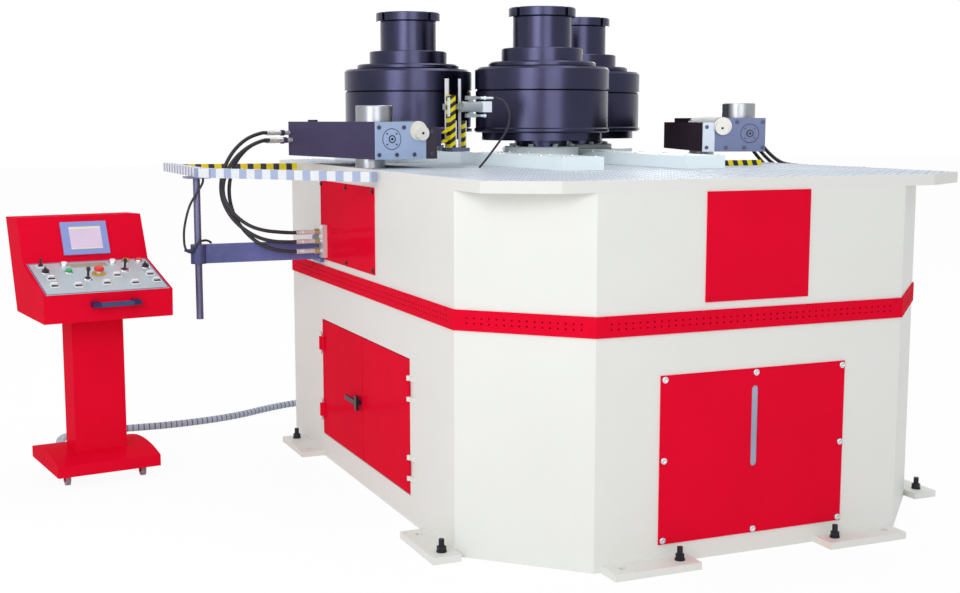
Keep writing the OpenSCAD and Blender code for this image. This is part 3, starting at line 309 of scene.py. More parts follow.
meter_lead_route = [
    (-397.4, -22.2, 1587), (-388, -20.5, 1587), (-374, -21, 1585), (-361, -32, 1578),
    (-353, -52, 1563), (-352, -76, 1541), (-357, -100, 1512), (-371, -122, 1480),
    (-393, -141, 1448), (-427, -158, 1412), (-468, -173, 1370), (-504, -189, 1336),
    (-524, -199, 1319), (-537, -207, 1310),
]
laid_lead(
    "meter_lead", meter_lead_route, meter_lead_d, lead_cover, "meter_cable",
)
support_lead_route = [
    (-1505, 477, 1253.5), (-1505, 477, 1242), (-1511, 479, 1226), (-1527, 484, 1199),
    (-1560, 495, 1139), (-1582, 505, 1050), (-1585, 504, 985), (-1578, 492, 952), (-1562, 478, 946),
    (-1547, 470, 966), (-1528, 466, 989), (-1505, 476, 994), (-1485, 498, 990), (-1470, 513, 980.3),
]
laid_lead(
    "support_lead", support_lead_route, support_lead_d, lead_cover, "support_cable",
)


wrap_pitch = 0.026


def spiral_wrap():
    """Cable bundle under a spiral plastic wrap: turns with darker gaps, by distance along it."""
    material = coat("cable_wrap", (0.42, 0.46, 0.56), 0.45, mottle=0.12, peel=0.08)
    tree = material.node_tree
    shader = tree.nodes["Principled BSDF"]
    along = tree.nodes.new("ShaderNodeAttribute")
    along.attribute_name = "along"
    turn = reckon(tree, "MULTIPLY", along.outputs["Fac"], 2 * math.pi / wrap_pitch)
    band = tree.nodes.new("ShaderNodeMapRange")
    set_sockets(band, From_Min=-1.0, From_Max=-0.55)
    tree.links.new(reckon(tree, "SINE", turn), band.inputs["Value"])
    tint = tree.nodes.new("ShaderNodeMix")
    tint.data_type = "RGBA"
    tint.inputs["A"].default_value = (0.09, 0.10, 0.14, 1.0)
    tree.links.new(band.outputs["Result"], tint.inputs["Factor"])
    tree.links.new(shader.inputs["Base Color"].links[0].from_socket, tint.inputs["B"])
    tree.links.new(tint.outputs["Result"], shader.inputs["Base Color"])
    bump = shader.inputs["Normal"].links[0].from_node
    tree.links.new(band.outputs["Result"], bump.inputs["Height"])
    set_sockets(bump, Strength=0.5, Distance=0.002)
    return material


console_lead_route = [
    (-1996.8, 878, 76), (-2000, 901, 76), (-2007, 945, 68), (-2026, 1010, 42), (-2042, 1085, 22),
    (-2052, 1160, 18), (-2044, 1235, 18), (-2006, 1298, 18), (-1944, 1338, 18), (-1860, 1356, 18),
    (-1760, 1361, 18), (-1660, 1357, 18), (-1560, 1355, 18), (-1460, 1362, 18), (-1360, 1378, 18),
    (-1250, 1406, 18), (-1130, 1456, 18), (-1000, 1532, 18), (-880, 1590, 18), (-770, 1620, 18),
    (-660, 1622, 20), (-560, 1588, 30), (-490, 1520, 50), (-460, 1460, 66), (-450, 1415, 70),
    (-450, 1391.4, 70),
]
laid_lead(
    "console_lead", console_lead_route, console_lead_d, spiral_wrap(), "console_cable",
)


# Casing: welded sheet steel, octagonal, sprayed off-white inside and out, with welded foot pads.
# The belt between its halves is a red sprayed band with two rows of small punched holes, drawn as
# shallow dark discs in painted shade.
def dress(names, material):
    """Gives CAD nodes their finish."""
    for name in names:
        nodes[name].data.materials.clear()
        nodes[name].data.materials.append(material)


def fitted(name, bm, material, body, smooth=False):
    """Turns a finished bmesh into a piece that rides on a body."""
    bmesh.ops.recalc_face_normals(bm, faces=bm.faces[:])
    mesh = bpy.data.meshes.new(name)
    bm.to_mesh(mesh)
    bm.free()
    mesh.materials.append(material)
    if smooth:
        for polygon in mesh.polygons:
            polygon.use_smooth = True
        mesh.set_sharp_from_angle(angle=math.radians(35))
    piece = bpy.data.objects.new(name, mesh)
    bpy.context.collection.objects.link(piece)
    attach(piece, body)


casing_paint = coat("casing_paint", (0.785, 0.79, 0.745), 0.45, mottle=0.012, peel=0.04)
dress(["lower_casing", "upper_casing"], casing_paint)
red_paint = coat(
    "red_paint", (0.77, 0.0035, 0.027), 0.42, mottle=0.04, peel=0.04, coat_weight=0.04, shine=0.0
)
dress(["belt"], red_paint)
# The holes are shallow dark discs on the belt: painted shade where the holes are.
hole_shade_paint = coat("punched_hole_shade", (0.10, 0.0, 0.006), 0.6, mottle=0.3, shine=0.0)

half_w, half_d, leg = 0.981, 1.371, 0.3585
outline = [
    Vector((-half_w + leg, -half_d, 0)), Vector((half_w - leg, -half_d, 0)),
    Vector((half_w, -half_d + leg, 0)), Vector((half_w, half_d - leg, 0)),
    Vector((half_w - leg, half_d, 0)), Vector((-half_w + leg, half_d, 0)),
    Vector((-half_w, half_d - leg, 0)), Vector((-half_w, -half_d + leg, 0)),
]
belt_middle, belt_screw_z = 0.8275, 0.855
hole_pitch, hole_rows, hole_margin = 0.027, (-0.009, 0.009), 0.06
hole_r, hole_depth = 0.0034, 0.0008


def facing(point, outward):
    """Places a shape that points along +Z so that it points outward at a point."""
    return Matrix.Translation(point) @ Vector(outward).to_track_quat("Z", "Y").to_matrix().to_4x4()


bm = bmesh.new()
for a, b in zip(outline, outline[1:] + outline[:1]):
    side = b - a
    outward = Vector((side.y, -side.x, 0)).normalized()
    count = int((side.length - hole_margin) / hole_pitch)
    start = (side.length - (count - 1) * hole_pitch) / 2
    for i in range(count):
        foot = a + side.normalized() * (start + i * hole_pitch)
        for row in hole_rows:
            spot = foot + Vector((0, 0, belt_middle + row))
            bmesh.ops.create_cone(
                bm, cap_ends=True, segments=8, radius1=hole_r, radius2=hole_r * 0.8,
                depth=hole_depth, matrix=facing(spot, outward),
            )
fitted("belt_holes", bm, hole_shade_paint, "machine")


def screw_heads(name, places, r, h, material, body):
    """Socket screws, chamfered and with a sunk socket, one at each point and direction."""
    one = bmesh.new()
    bmesh.ops.create_cone(
        one, cap_ends=True, segments=16, radius1=r, radius2=r, depth=h,
        matrix=Matrix.Translation((0, 0, h / 2)),
    )
    top = max(one.faces, key=lambda f: f.calc_center_median().z)
    bmesh.ops.bevel(
        one, geom=list(top.edges), offset=r * 0.14, segments=2, profile=0.5, affect="EDGES",
        material=-1,
    )
    top = max(one.faces, key=lambda f: (round(f.calc_center_median().z, 6), f.calc_area()))
    bmesh.ops.inset_region(one, faces=[top], thickness=r * 0.36)
    bmesh.ops.inset_region(one, faces=[top], thickness=r * 0.02, depth=-h * 0.55)
    head = bpy.data.meshes.new(name + "_head")
    one.to_mesh(head)
    one.free()
    bm = bmesh.new()
    for point, outward in places:
        old = set(bm.verts)
        bm.from_mesh(head)
        new = [v for v in bm.verts if v not in old]
        bmesh.ops.transform(bm, matrix=facing(Vector(point), outward), verts=new)
    bpy.data.meshes.remove(head)
    fitted(name, bm, material, body)


FRONT, BACK, LEFT, RIGHT, UP = (0, -1, 0), (0, 1, 0), (-1, 0, 0), (1, 0, 0), (0, 0, 1)
places = []
for x in (-0.59, -0.2, 0.2, 0.59):
    places += [((x, -half_d, belt_screw_z), FRONT), ((x, half_d, belt_screw_z), BACK)]
for y in (-0.95, -0.55, -0.15, 0.25, 0.65, 0.95):
    places += [((-half_w, y, belt_screw_z), LEFT), ((half_w, y, belt_screw_z), RIGHT)]
screw_heads("belt_screws", places, 0.0045, 0.0025, red_paint, "machine")


# Table: thick plates with an off-white edge under a skin of tear-pattern sheet, steel blue.
# The middle roll's boss stands on it, the slide plates run on it, and a striped stop bar is
# bolted on.
def reach_along(tree, direction):
    """How far each point of the piece lies along a direction."""
    where = tree.nodes.new("ShaderNodeTexCoord")
    dot = tree.nodes.new("ShaderNodeVectorMath")
    dot.operation = "DOT_PRODUCT"
    dot.inputs[1].default_value = direction
    tree.links.new(where.outputs["Object"], dot.inputs[0])
    return dot.outputs["Value"]


def beyond(material, direction, level):
    """1 where a point of the piece lies beyond a level along a direction."""
    tree = material.node_tree
    return reckon(tree, "GREATER_THAN", reach_along(tree, direction), level)


def stripes(material, period, direction, share):
    """1 in stripes across a direction of the piece, over a share of each period."""
    tree = material.node_tree
    turns = reach_along(tree, tuple(c / period for c in direction))
    return reckon(tree, "LESS_THAN", reckon(tree, "FRACT", turns), share)


def both(material, first, second):
    """1 where two masks are 1."""
    return reckon(material.node_tree, "MULTIPLY", first, second)


def repaint(material, where, colour):
    """Lays another colour over the base colour where a mask is 1."""
    tree = material.node_tree
    shader = tree.nodes["Principled BSDF"]
    tint = tree.nodes.new("ShaderNodeMix")
    tint.data_type = "RGBA"
    tint.inputs["B"].default_value = tuple(colour) + (1.0,)
    tree.links.new(where, tint.inputs["Factor"])
    tree.links.new(shader.inputs["Base Color"].links[0].from_socket, tint.inputs["A"])
    tree.links.new(tint.outputs["Result"], shader.inputs["Base Color"])


table_top, boss_level = 1.305, 1.3065


def tread_paint():
    """Tear-pattern top, bare steel blue; the edges and the boss keep their own paint."""
    material = coat(
        "table_finish", (0.60, 0.66, 0.72), 0.4, mottle=0.08, peel=0.1, peel_scale=180.0, shine=0.08
    )
    tree = material.node_tree
    where = tree.nodes.new("ShaderNodeNewGeometry")
    split = tree.nodes.new("ShaderNodeSeparateXYZ")
    tree.links.new(where.outputs["Normal"], split.inputs[0])
    repaint(material, reckon(tree, "LESS_THAN", split.outputs["Z"], 0.5), (0.79, 0.79, 0.75))
    repaint(material, beyond(material, UP, boss_level), (0.84, 0.93, 0.95))
    return material


dress(["table_plate"], tread_paint())
# The tears are painted darker than the sheet: partly their own steel tone, partly painted shade on
# them.
tear_metal_and_shade = coat("tear_metal_and_shade", (0.42, 0.46, 0.53), 0.34, metal=0.15, mottle=0.1, shine=0.12)
tear_pitch, tear_size = 0.032, (0.021, 0.0080, 0.0016)
table_w, table_d = 1.95, 2.73
sheet_x, sheet_y, corner_x, corner_slope = 0.962, 1.352, 0.226, 0.584
boss_y, boss_clear = 0.337, 0.185
slide_lane, slide_opening = (0.17, 0.375, -0.70, 0.9), (0.15, 0.74, 0.30, math.inf)
stop_bar_spot = (0.51, 0.74, -0.36, -0.29)


def within(x, y, zone):
    """True inside a zone from one x to another and from one y to another."""
    return zone[0] < x < zone[1] and zone[2] < y < zone[3]


def on_open_table(x, y):
    """True where the tear sheet is bare: inside its edge, clear of slides, slots and boss."""
    if abs(x) > sheet_x or abs(y) > sheet_y:
        return False
    if abs(x) * corner_slope + abs(y) > sheet_y + (sheet_x - corner_x) * corner_slope:
        return False
    if math.hypot(x, y - boss_y) < boss_clear:
        return False
    if within(abs(x), y, slide_lane) or within(abs(x), y, slide_opening):
        return False
    return not within(x, y, stop_bar_spot)


bm = bmesh.new()
one = bmesh.new()
bmesh.ops.create_cone(one, cap_ends=False, segments=8, radius1=0.5, radius2=0.16, depth=1.0)
rim = [edge for edge in one.edges if edge.is_boundary and edge.verts[0].co.z > 0]
bmesh.ops.contextual_create(one, geom=rim)
bmesh.ops.transform(one, matrix=Matrix.Diagonal((*tear_size, 1.0)), verts=one.verts[:])
tear = bpy.data.meshes.new("tear")
one.to_mesh(tear)
one.free()
columns, rows = int(table_w / tear_pitch), int(table_d / tear_pitch)
for i in range(columns):
    for j in range(rows):
        x = (i - columns / 2 + 0.5) * tear_pitch
        y = (j - rows / 2 + 0.5) * tear_pitch
        if not on_open_table(x, y):
            continue
        turn = Matrix.Rotation(math.radians(45 if (i + j) % 2 else -45), 4, "Z")
        placed = tear.copy()
        placed.transform(Matrix.Translation((x, y, table_top + tear_size[2] / 2)) @ turn)
        bm.from_mesh(placed)
        bpy.data.meshes.remove(placed)
bpy.data.meshes.remove(tear)
fitted("table_tears", bm, tear_metal_and_shade, "machine")


def slab(bm, low, high, placing=Matrix.Identity(4), bevel=0.0):
    """Adds a box between two corners, with rounded edges, set in place."""
    corners = bmesh.ops.create_cube(bm, size=1.0)["verts"]
    low, high = Vector(low), Vector(high)
    middle, size = Matrix.Translation((low + high) / 2), Matrix.Diagonal((*(high - low), 1.0))
    bmesh.ops.transform(bm, matrix=placing @ middle @ size, verts=corners)
    if bevel:
        edges = {edge for corner in corners for edge in corner.link_edges}
        bmesh.ops.bevel(
            bm, geom=list(edges), offset=bevel, segments=2, profile=0.5, affect="EDGES", material=-1
        )


yellow, soot = (0.80, 0.66, 0.0), (0.014, 0.013, 0.018)
stop_stripes = coat("stop_stripes", yellow, 0.4, mottle=0.05)
repaint(stop_stripes, stripes(stop_stripes, 0.045, (0.94, 0.0, 0.34), 0.5), soot)
bm = bmesh.new()
slab(bm, (0.5293, -0.3357, 1.3052), (0.7207, -0.3143, 1.3279), bevel=0.0012)
fitted("striped_stop_bar", bm, stop_stripes, "machine")


# Covers: pressed red sheets bolted over the openings, the lower front one with an oil sight slot.
# The glass behind the slot is a clear gauge with a pale strip.
dress(["cover_panels"], red_paint)
zinc = coat("zinc_screws", (0.62, 0.64, 0.68), 0.25, metal=0.9, mottle=0.12, peel=0.05)
front_y, back_y, left_x, right_x = -1.370, 1.370, -0.980, 0.980
places = []
for z, row in ((0.083, (-0.362, 0, 0.362)), (0.36, (-0.362, 0.362)), (0.637, (-0.362, 0, 0.362))):
    for x in row:
        places += [((x, front_y, z), FRONT), ((x, back_y, z), BACK)]
for y in (-0.56, -0.29, -0.013, 0.26, 0.535):
    for z in (0.116, 0.606):
        places.append(((right_x, y, z), RIGHT))
screw_heads("cover_screws", places, 0.0115, 0.006, zinc, "machine")
black_screw = coat("black_screws", (0.02, 0.02, 0.028), 0.4, metal=0.5)
places = []
for y in (-0.176, 0.17, 0.516):
    for z in (0.907, 1.22):
        places += [((left_x, y, z), LEFT), ((right_x, y, z), RIGHT)]
screw_heads("side_panel_screws", places, 0.009, 0.005, black_screw, "machine")
places = []
for x in (-0.195, 0.195):
    for z in (0.903, 1.249):
        places += [((x, front_y, z), FRONT), ((x, back_y, z), BACK)]
screw_heads("end_panel_screws", places, 0.006, 0.003, red_paint, "machine")
gauge_glass = coat("gauge_glass", (0.34, 0.42, 0.55), 0.12, mottle=0.2, coat_weight=0.6)
dress(["sight_glass"], gauge_glass)


# Double door: two inset red leaves on pin hinges, held by a black cast lever handle.
# The levelling studs in the pads are black with a hexagon nut and a washer.
dress(["front_door_leaf", "back_door_leaf"], red_paint)
black_oxide = coat("black_oxide", (0.018, 0.018, 0.024), 0.38, metal=0.4, mottle=0.2)
dress(["door_handle", "levelling_bolts"], black_oxide)


# Drives inside the casing: cast housings and steel cylinders, seen only with the doors open.
# They are plain blocks with a cast or a ground finish.
cast_iron = coat(
    "cast_iron", (0.05, 0.052, 0.065), 0.5, metal=0.5, mottle=0.25, peel=0.2, peel_scale=150.0
)
dress(["center_housing", "left_carriage", "right_carriage"], cast_iron)
dress(["hydraulic_unit"], casing_paint)


def ground_steel(name, colour, rough, along):
    """Ground or turned steel: fine streaks that run round or along the piece."""
    material = coat(name, colour, rough, metal=1.0, mottle=0.1, peel=0.02)
    tree = material.node_tree
    shader = tree.nodes["Principled BSDF"]
    where = tree.nodes.new("ShaderNodeTexCoord")
    stretch = tree.nodes.new("ShaderNodeMapping")
    stretch.inputs["Scale"].default_value = along
    tree.links.new(where.outputs["Object"], stretch.inputs["Vector"])
    streak = tree.nodes.new("ShaderNodeTexNoise")
    set_sockets(streak, Scale=1.0, Detail=3.0)
    tree.links.new(stretch.outputs[0], streak.inputs["Vector"])
    bump = shader.inputs["Normal"].links[0].from_node
    tree.links.new(streak.outputs["Fac"], bump.inputs["Height"])
    set_sockets(bump, Strength=0.05, Distance=0.0004)
    return material


bright_steel = ground_steel("bright_steel", (0.30, 0.31, 0.335), 0.34, (6.0, 6.0, 900.0))
dress(["slide_cylinders"], bright_steel)


# Rolls: hardened steel dies stacked on the shafts and clamped by a washer, collar, sleeve and cap.
# They are blackened, with turning marks and a blue sheen.
roll_black = ground_steel("roll_black", (0.036, 0.036, 0.070), 0.26, (4.0, 4.0, 700.0))
set_sockets(roll_black.node_tree.nodes["Principled BSDF"], Metallic=0.92)
for side in ("center_", "left_", "right_"):
    dress([side + part for part in ("shaft", "spacers", "dies")], roll_black)


# Slide plates: thick slabs in pale blue-white paint that carry the side rolls along the table.
# Socket screws hold their tongues down.
slide_top = 1.3575
plate_paint = coat("plate_paint", (0.87, 0.96, 0.98), 0.36, mottle=0.03)
dress(["left_slide_plate", "right_slide_plate"], plate_paint)
for side, body in ((-1, "left_slide"), (1, "right_slide")):
    places = []
    for y in (-0.57, -0.37, -0.17, 0.03, 0.23):
        for x in (0.205, 0.342):
            places.append(((side * x, y, slide_top), UP))
    screw_heads(body + "_screws", places, 0.011, 0.003, zinc, body)


# Guides: dark sprayed steel blocks with a bolted steel-blue face plate, a vertical ground roller
# on top, a ground cylinder along the inner edge, a bearing cap in the plate and plated hose
# nipples.
guide_paint = coat("guide_paint", (0.062, 0.052, 0.115), 0.45, mottle=0.12, shine=0.04)
dress(["left_guide_arm"], guide_paint)
# The right arm is painted darker than the left one: painted shade on the same sprayed steel.
right_arm_painted_shade = coat("right_arm_painted_shade", (0.046, 0.030, 0.042), 0.45, mottle=0.12, shine=0.0)
dress(["right_guide_arm"], right_arm_painted_shade)
dress(["left_guide_roller", "right_guide_roller", "guide_posts"], bright_steel)


def turned(point, degrees, axis):
    """A frame moved to a point and turned about one of its axes."""
    return Matrix.Translation(point) @ Matrix.Rotation(math.radians(degrees), 4, axis)


left_frame = turned((-0.892, 0.05, 0), 10, "Z")
right_frame = turned((0.841, 0.029, 0.016), -18.5, "Z") @ Matrix.Diagonal((-1, 1, 1, 1))
strip_tints = {"left": (0.040, 0.030, 0.045), "right": (0.60, 0.66, 0.76)}
# The right face plate's colour is darker than the left one's: painted shade on the same steel-blue
# plate.
face_tints_lit_and_shaded = {"left": (0.37, 0.465, 0.67), "right": (0.135, 0.165, 0.30)}
screw_spots = {
    "left": ((-68, 126), (45, 126), (-68, 18), (12, 18), (93, 18), (174, 109), (174, 20)),
    "right": ((48, 130), (-69, 130), (-69, 18), (14, 18), (97, 18), (184, 108), (184, 18)),
}
face_front, arm_low, arm_high = -0.162, 1.342, 1.490
strip_from, disc_depth = 0.1482, 0.002
cap_x, cap_z, cap_circle = -0.010, arm_low + 0.080, 0.030
hub_place = Vector((0.120, face_front - 0.024, arm_high - 0.045))
face_screw = coat("face_screws", (0.07, 0.075, 0.13), 0.35, metal=0.4)
for side, placing in (("left", left_frame), ("right", right_frame)):
    face_coat = coat(side + "_face_coat", face_tints_lit_and_shaded[side], 0.34, metal=0.15, mottle=0.06)
    across = placing.to_3x3() @ Vector(RIGHT)
    strip_edge = across.dot(placing.translation) + strip_from
    repaint(face_coat, beyond(face_coat, tuple(across), strip_edge), strip_tints[side])
    dress([side + "_guide_face"], face_coat)
    cream_steel = ground_steel(side + "_cream_steel", (0.78, 0.76, 0.70), 0.4, (700.0, 6.0, 6.0))
    shader = cream_steel.node_tree.nodes["Principled BSDF"]
    set_sockets(shader, Metallic=0.15, Specular_IOR_Level=0.1)
    outward = placing.to_3x3() @ Vector(FRONT)
    disc_back = -outward.dot(placing.translation) + face_front + disc_depth
    repaint(cream_steel, beyond(cream_steel, tuple(-outward), disc_back), (0.15, 0.16, 0.168))
    dress([side + "_guide_cylinder"], cream_steel)
    body = side + "_guide"
    places = []
    for x, z in screw_spots[side]:
        places.append((placing @ Vector((x / 1000, face_front, arm_low + z / 1000)), outward))
    screw_heads(body + "_screws", places, 0.0085, 0.004, face_screw, body)
    places = []
    for bearing in (45, 135, 225, 315):
        x = cap_x + cap_circle * math.cos(math.radians(bearing))
        z = cap_z + cap_circle * math.sin(math.radians(bearing))
        places.append((placing @ Vector((x, face_front, z)), outward))
    screw_heads(side + "_cap_screws", places, 0.0036, 0.0018, face_screw, body)
    places = [(placing @ hub_place, outward)]
    screw_heads(side + "_hub_screw", places, 0.0052, 0.0026, black_screw, body)


def lathe(bm, profile, placing, segments=32):
    """Adds a turned shape: a profile of radius and height, spun once about Z and set in place."""
    one = bmesh.new()
    ring = [one.verts.new((r, 0.0, z)) for r, z in profile]
    edges = [one.edges.new(pair) for pair in zip(ring, ring[1:])]
    bmesh.ops.spin(
        one, geom=ring + edges, cent=(0, 0, 0), axis=UP, angle=2 * math.pi, steps=segments,
        use_merge=True,
    )
    bmesh.ops.remove_doubles(one, verts=one.verts[:], dist=1e-6)
    bmesh.ops.transform(one, matrix=placing, verts=one.verts[:])
    shape = bpy.data.meshes.new("turned")
    one.to_mesh(shape)
    one.free()
    bm.from_mesh(shape)
    bpy.data.meshes.remove(shape)


ferrule_steel = coat("ferrule_steel", (0.60, 0.60, 0.58), 0.3, metal=0.35, mottle=0.15)
brass = coat("brass", (0.40, 0.36, 0.20), 0.3, metal=0.4, mottle=0.15)
sleeve_profile = [
    (0.0, -0.0003), (0.0101, -0.0003), (0.0104, 0.002), (0.0104, 0.012), (0.0099, 0.013),
    (0.0104, 0.014), (0.0104, 0.022), (0.0099, 0.023), (0.0104, 0.024), (0.0104, 0.036),
    (0.0101, 0.038), (0.0097, 0.038), (0.0097, 0.062),
]
nipple_end = [(0.0097, 0.109), (0.0, 0.109)]
nipple_x = -0.1900
bm = bmesh.new()
outward = left_frame.to_3x3() @ Vector(RIGHT)
for y, z in ((0.626, 0.099), (0.628, 0.064), (0.601, 0.068)):
    spot = left_frame @ Vector((nipple_x, y, arm_low + z))
    lathe(bm, sleeve_profile + nipple_end, facing(spot, outward))
fitted("left_guide_ferrules", bm, ferrule_steel, "left_guide", smooth=True)
bm = bmesh.new()
lathe(
    bm, [(0.0, 0.0), (0.022, 0.0), (0.022, 0.006), (0.020, 0.008), (0.0, 0.008)],
    left_frame @ Matrix.Translation((0.02, 0.60, arm_high)),
)
fitted("left_guide_plug", bm, black_oxide, "left_guide", smooth=True)
groove_ring = [(0.0396, 0.0), (0.0396, 0.0024), (0.0424, 0.0024), (0.0424, 0.0), (0.0396, 0.0)]
hub_ring = [(0.0118, 0.0), (0.0118, 0.001), (0.0157, 0.001), (0.0157, 0.0), (0.0118, 0.0)]
# The hub's dark centre disc stands for its socket: painted shade in place of the recess.
hub_socket_shade = [(0.0, 0.0), (0.0055, 0.0), (0.0055, 0.001), (0.0, 0.001)]
for side, placing in (("left", left_frame), ("right", right_frame)):
    outward = placing.to_3x3() @ Vector(FRONT)
    bm = bmesh.new()
    for profile, depth, segments in (
        (groove_ring, 0.0022, 48),
        (hub_ring, -0.003, 32),
        (hub_socket_shade, -0.003, 32),
    ):
        spot = placing @ Vector((cap_x, face_front + depth, cap_z))
        lathe(bm, profile, facing(spot, outward), segments)
    fitted(side + "_cap_ring", bm, black_oxide, side + "_guide", smooth=True)


# Measuring unit: steel bracket in black and yellow warning stripes, with a small cylinder on two
# masts and a dark base. White strip plates are fixed along its two uprights.
warning_stripes = coat("warning_stripes", yellow, 0.4, mottle=0.05)
repaint(warning_stripes, stripes(warning_stripes, 0.030, (-0.55, 0.0, 0.84), 0.5), soot)
mast_y, block_x, base_top = -0.093, 0.4115, 1.3842
back_along = left_frame.to_3x3() @ Vector(BACK)
mast_level = back_along.dot(left_frame.translation) + mast_y
masts = beyond(warning_stripes, tuple(back_along), mast_level)
repaint(warning_stripes, masts, (0.74, 0.73, 0.75))
repaint(warning_stripes, beyond(warning_stripes, (0, 0, -1), -base_top), (0.12, 0.13, 0.22))
dress(["meter_bracket"], warning_stripes)
meter_grey = coat("meter_grey", (0.34, 0.37, 0.40), 0.35, metal=0.4, mottle=0.1)
across = left_frame.to_3x3() @ Vector(RIGHT)
block_level = across.dot(left_frame.translation) + block_x
repaint(meter_grey, beyond(meter_grey, tuple(across), block_level), (0.82, 0.86, 0.93))
dress(["meter_head"], meter_grey)
strip_white = coat("strip_white", (0.78, 0.80, 0.84), 0.4, mottle=0.04)
bm = bmesh.new()
for low, high in (
    ((0.3102, -0.128, 1.3845), (0.3152, -0.118, 1.495)),
    ((0.2765, -0.128, 1.511), (0.2839, -0.118, 1.5885)),
    ((0.3642, -0.120, 1.3845), (0.3682, -0.110, 1.494)),
):
    slab(bm, low, high, left_frame, bevel=0.0006)
fitted("meter_strips", bm, strip_white, "meter")


# Work support: painted steel arm with a clamp, a round post, and an open frame of square bars.
# The near and left bars have pale dashes, and the back bar has yellow and black ones.
support_blue = coat("support_blue", (0.095, 0.115, 0.31), 0.4, metal=0.15, mottle=0.45)
dress(["support_arm"], support_blue)
post_grey = coat("post_grey", (0.12, 0.125, 0.225), 0.35, metal=0.4, mottle=0.15)
dress(["support_post"], post_grey)
bar_white, near_blue, left_blue = (0.80, 0.83, 0.86), (0.40, 0.47, 0.66), (0.30, 0.34, 0.52)
near_along, bar_corner, back_bar_y = (-0.6247, 0.7808, 0.0), -1.503, 0.80
bar_paint = coat("bar_paint", bar_white, 0.4, mottle=0.04)
repaint(bar_paint, stripes(bar_paint, 0.078, near_along, 0.48), near_blue)
left_bar = beyond(bar_paint, LEFT, -bar_corner)
repaint(bar_paint, left_bar, bar_white)
left_dashes = stripes(bar_paint, 0.062, BACK, 0.45)
repaint(bar_paint, both(bar_paint, left_bar, left_dashes), left_blue)
back_bar = beyond(bar_paint, BACK, back_bar_y)
back_bar = both(bar_paint, back_bar, beyond(bar_paint, RIGHT, bar_corner))
repaint(bar_paint, back_bar, yellow)
back_dashes = stripes(bar_paint, 0.058, RIGHT, 0.45)
repaint(bar_paint, both(bar_paint, back_bar, back_dashes), soot)
dress(["support_frame"], bar_paint)


# Hose outlets: zinc-plated fittings screwed into steel blocks, with brass nuts.
# Crimped sleeves hold the hose ends.
fitting_steel = coat("fitting_steel", (0.66, 0.66, 0.66), 0.3, metal=0.35, mottle=0.15)
dress(["hose_fittings"], fitting_steel)
outlet_y, outlet_levels = 0.466, (1.015, 0.975, 0.933)
sleeve_x, nut_x, nut_r = -1.110, -1.019, 0.0142
bm = bmesh.new()
for z in outlet_levels:
    lathe(bm, sleeve_profile, facing(Vector((sleeve_x, outlet_y, z)), RIGHT))
fitted("outlet_ferrules", bm, ferrule_steel, "machine", smooth=True)
bm = bmesh.new()
for z in outlet_levels:
    bmesh.ops.create_cone(
        bm, cap_ends=True, segments=6, radius1=nut_r, radius2=nut_r, depth=0.0226,
        matrix=facing(Vector((nut_x, outlet_y, z)), RIGHT),
    )
fitted("outlet_nuts", bm, brass, "machine")


# Console: folded sheet box on a pedestal and a weighted base, sprayed in the casing's red.
# It rolls on four grey casters.
dress(["console_base", "console_pedestal", "console_box"], red_paint)
wheel_grey = coat("wheel_grey", (0.30, 0.30, 0.34), 0.5, mottle=0.1)
dress(["front_wheels", "back_wheels"], wheel_grey)
console_frame = turned((-1.962, 0.632, 0), 8, "Z")


# Control plate: a printed grey sheet set in the box's sloped top. Chrome rings hold the selectors,
# sticks and lamps, white frames hold the rockers, and the stop button stands on a yellow ring.
deck_grey = coat("deck_grey", (0.47, 0.54, 0.575), 0.33, metal=0.1, mottle=0.08)
dress(["console_deck"], deck_grey)
start_green = coat("start_green", (0.05, 0.45, 0.12), 0.25, mottle=0.05)
dress(["green_button"], start_green)
knob_black = coat("knob_black", (0.035, 0.026, 0.030), 0.4, mottle=0.15)
dress(["left_selector", "right_selector", "left_joystick", "right_joystick"], knob_black)
deck_frame = console_frame @ turned((0, -0.295, 0.810), 16.863, "X")
deck_w, deck_d, deck_top = 0.522, 0.3344, 0.003
stop_place, stop_collar = (0.518, 0.435), 0.0175


def at_deck(place, height=deck_top):
    """The deck's frame at a share of its width and of its depth from the back."""
    across, deep = (place[0] - 0.5) * deck_w, (1 - place[1]) * deck_d
    return deck_frame @ Matrix.Translation((across, deep, height))


stop_red = coat("stop_red", (0.75, 0.035, 0.025), 0.25, mottle=0.05)
stop_up = deck_frame.to_3x3() @ Vector(UP)
stem_level = -stop_up.dot(at_deck(stop_place, stop_collar).translation)
repaint(stop_red, beyond(stop_red, tuple(-stop_up), stem_level), (0.80, 0.78, 0.78))
dress(["stop_button"], stop_red)


def collar(inner, outer, edge, top, height):
    """The profile of a ring with a sloped upper edge."""
    return [
        (inner, 0.0), (outer, 0.0), (outer, edge), (top, height), (inner, height), (inner, 0.0)
    ]


chrome = coat("chrome", (0.72, 0.72, 0.76), 0.14, metal=1.0, mottle=0.06, peel=0.02)
white_spots = ((0.299, 0.11), (0.689, 0.1))
yellow_spots, red_spots = ((0.795, 0.1),), ((0.903, 0.1),)
bm = bmesh.new()
for place in ((0.301, 0.332), (0.123, 0.314), (0.918, 0.312)):
    lathe(bm, collar(0.0135, 0.0185, 0.0016, 0.0165, 0.004), at_deck(place))
for place in ((0.407, 0.58), (0.737, 0.37)):
    lathe(bm, collar(0.0138, 0.0200, 0.002, 0.0175, 0.005), at_deck(place))
for place in white_spots + yellow_spots + red_spots:
    lathe(bm, collar(0.0132, 0.0175, 0.004, 0.0155, 0.0085), at_deck(place))
fitted("control_rings", bm, chrome, "console", smooth=True)
lamp_profile = [
    (0.0, 0.0), (0.01315, 0.0), (0.01315, 0.0105), (0.0122, 0.0128), (0.0085, 0.0148), (0.0, 0.0156)
]
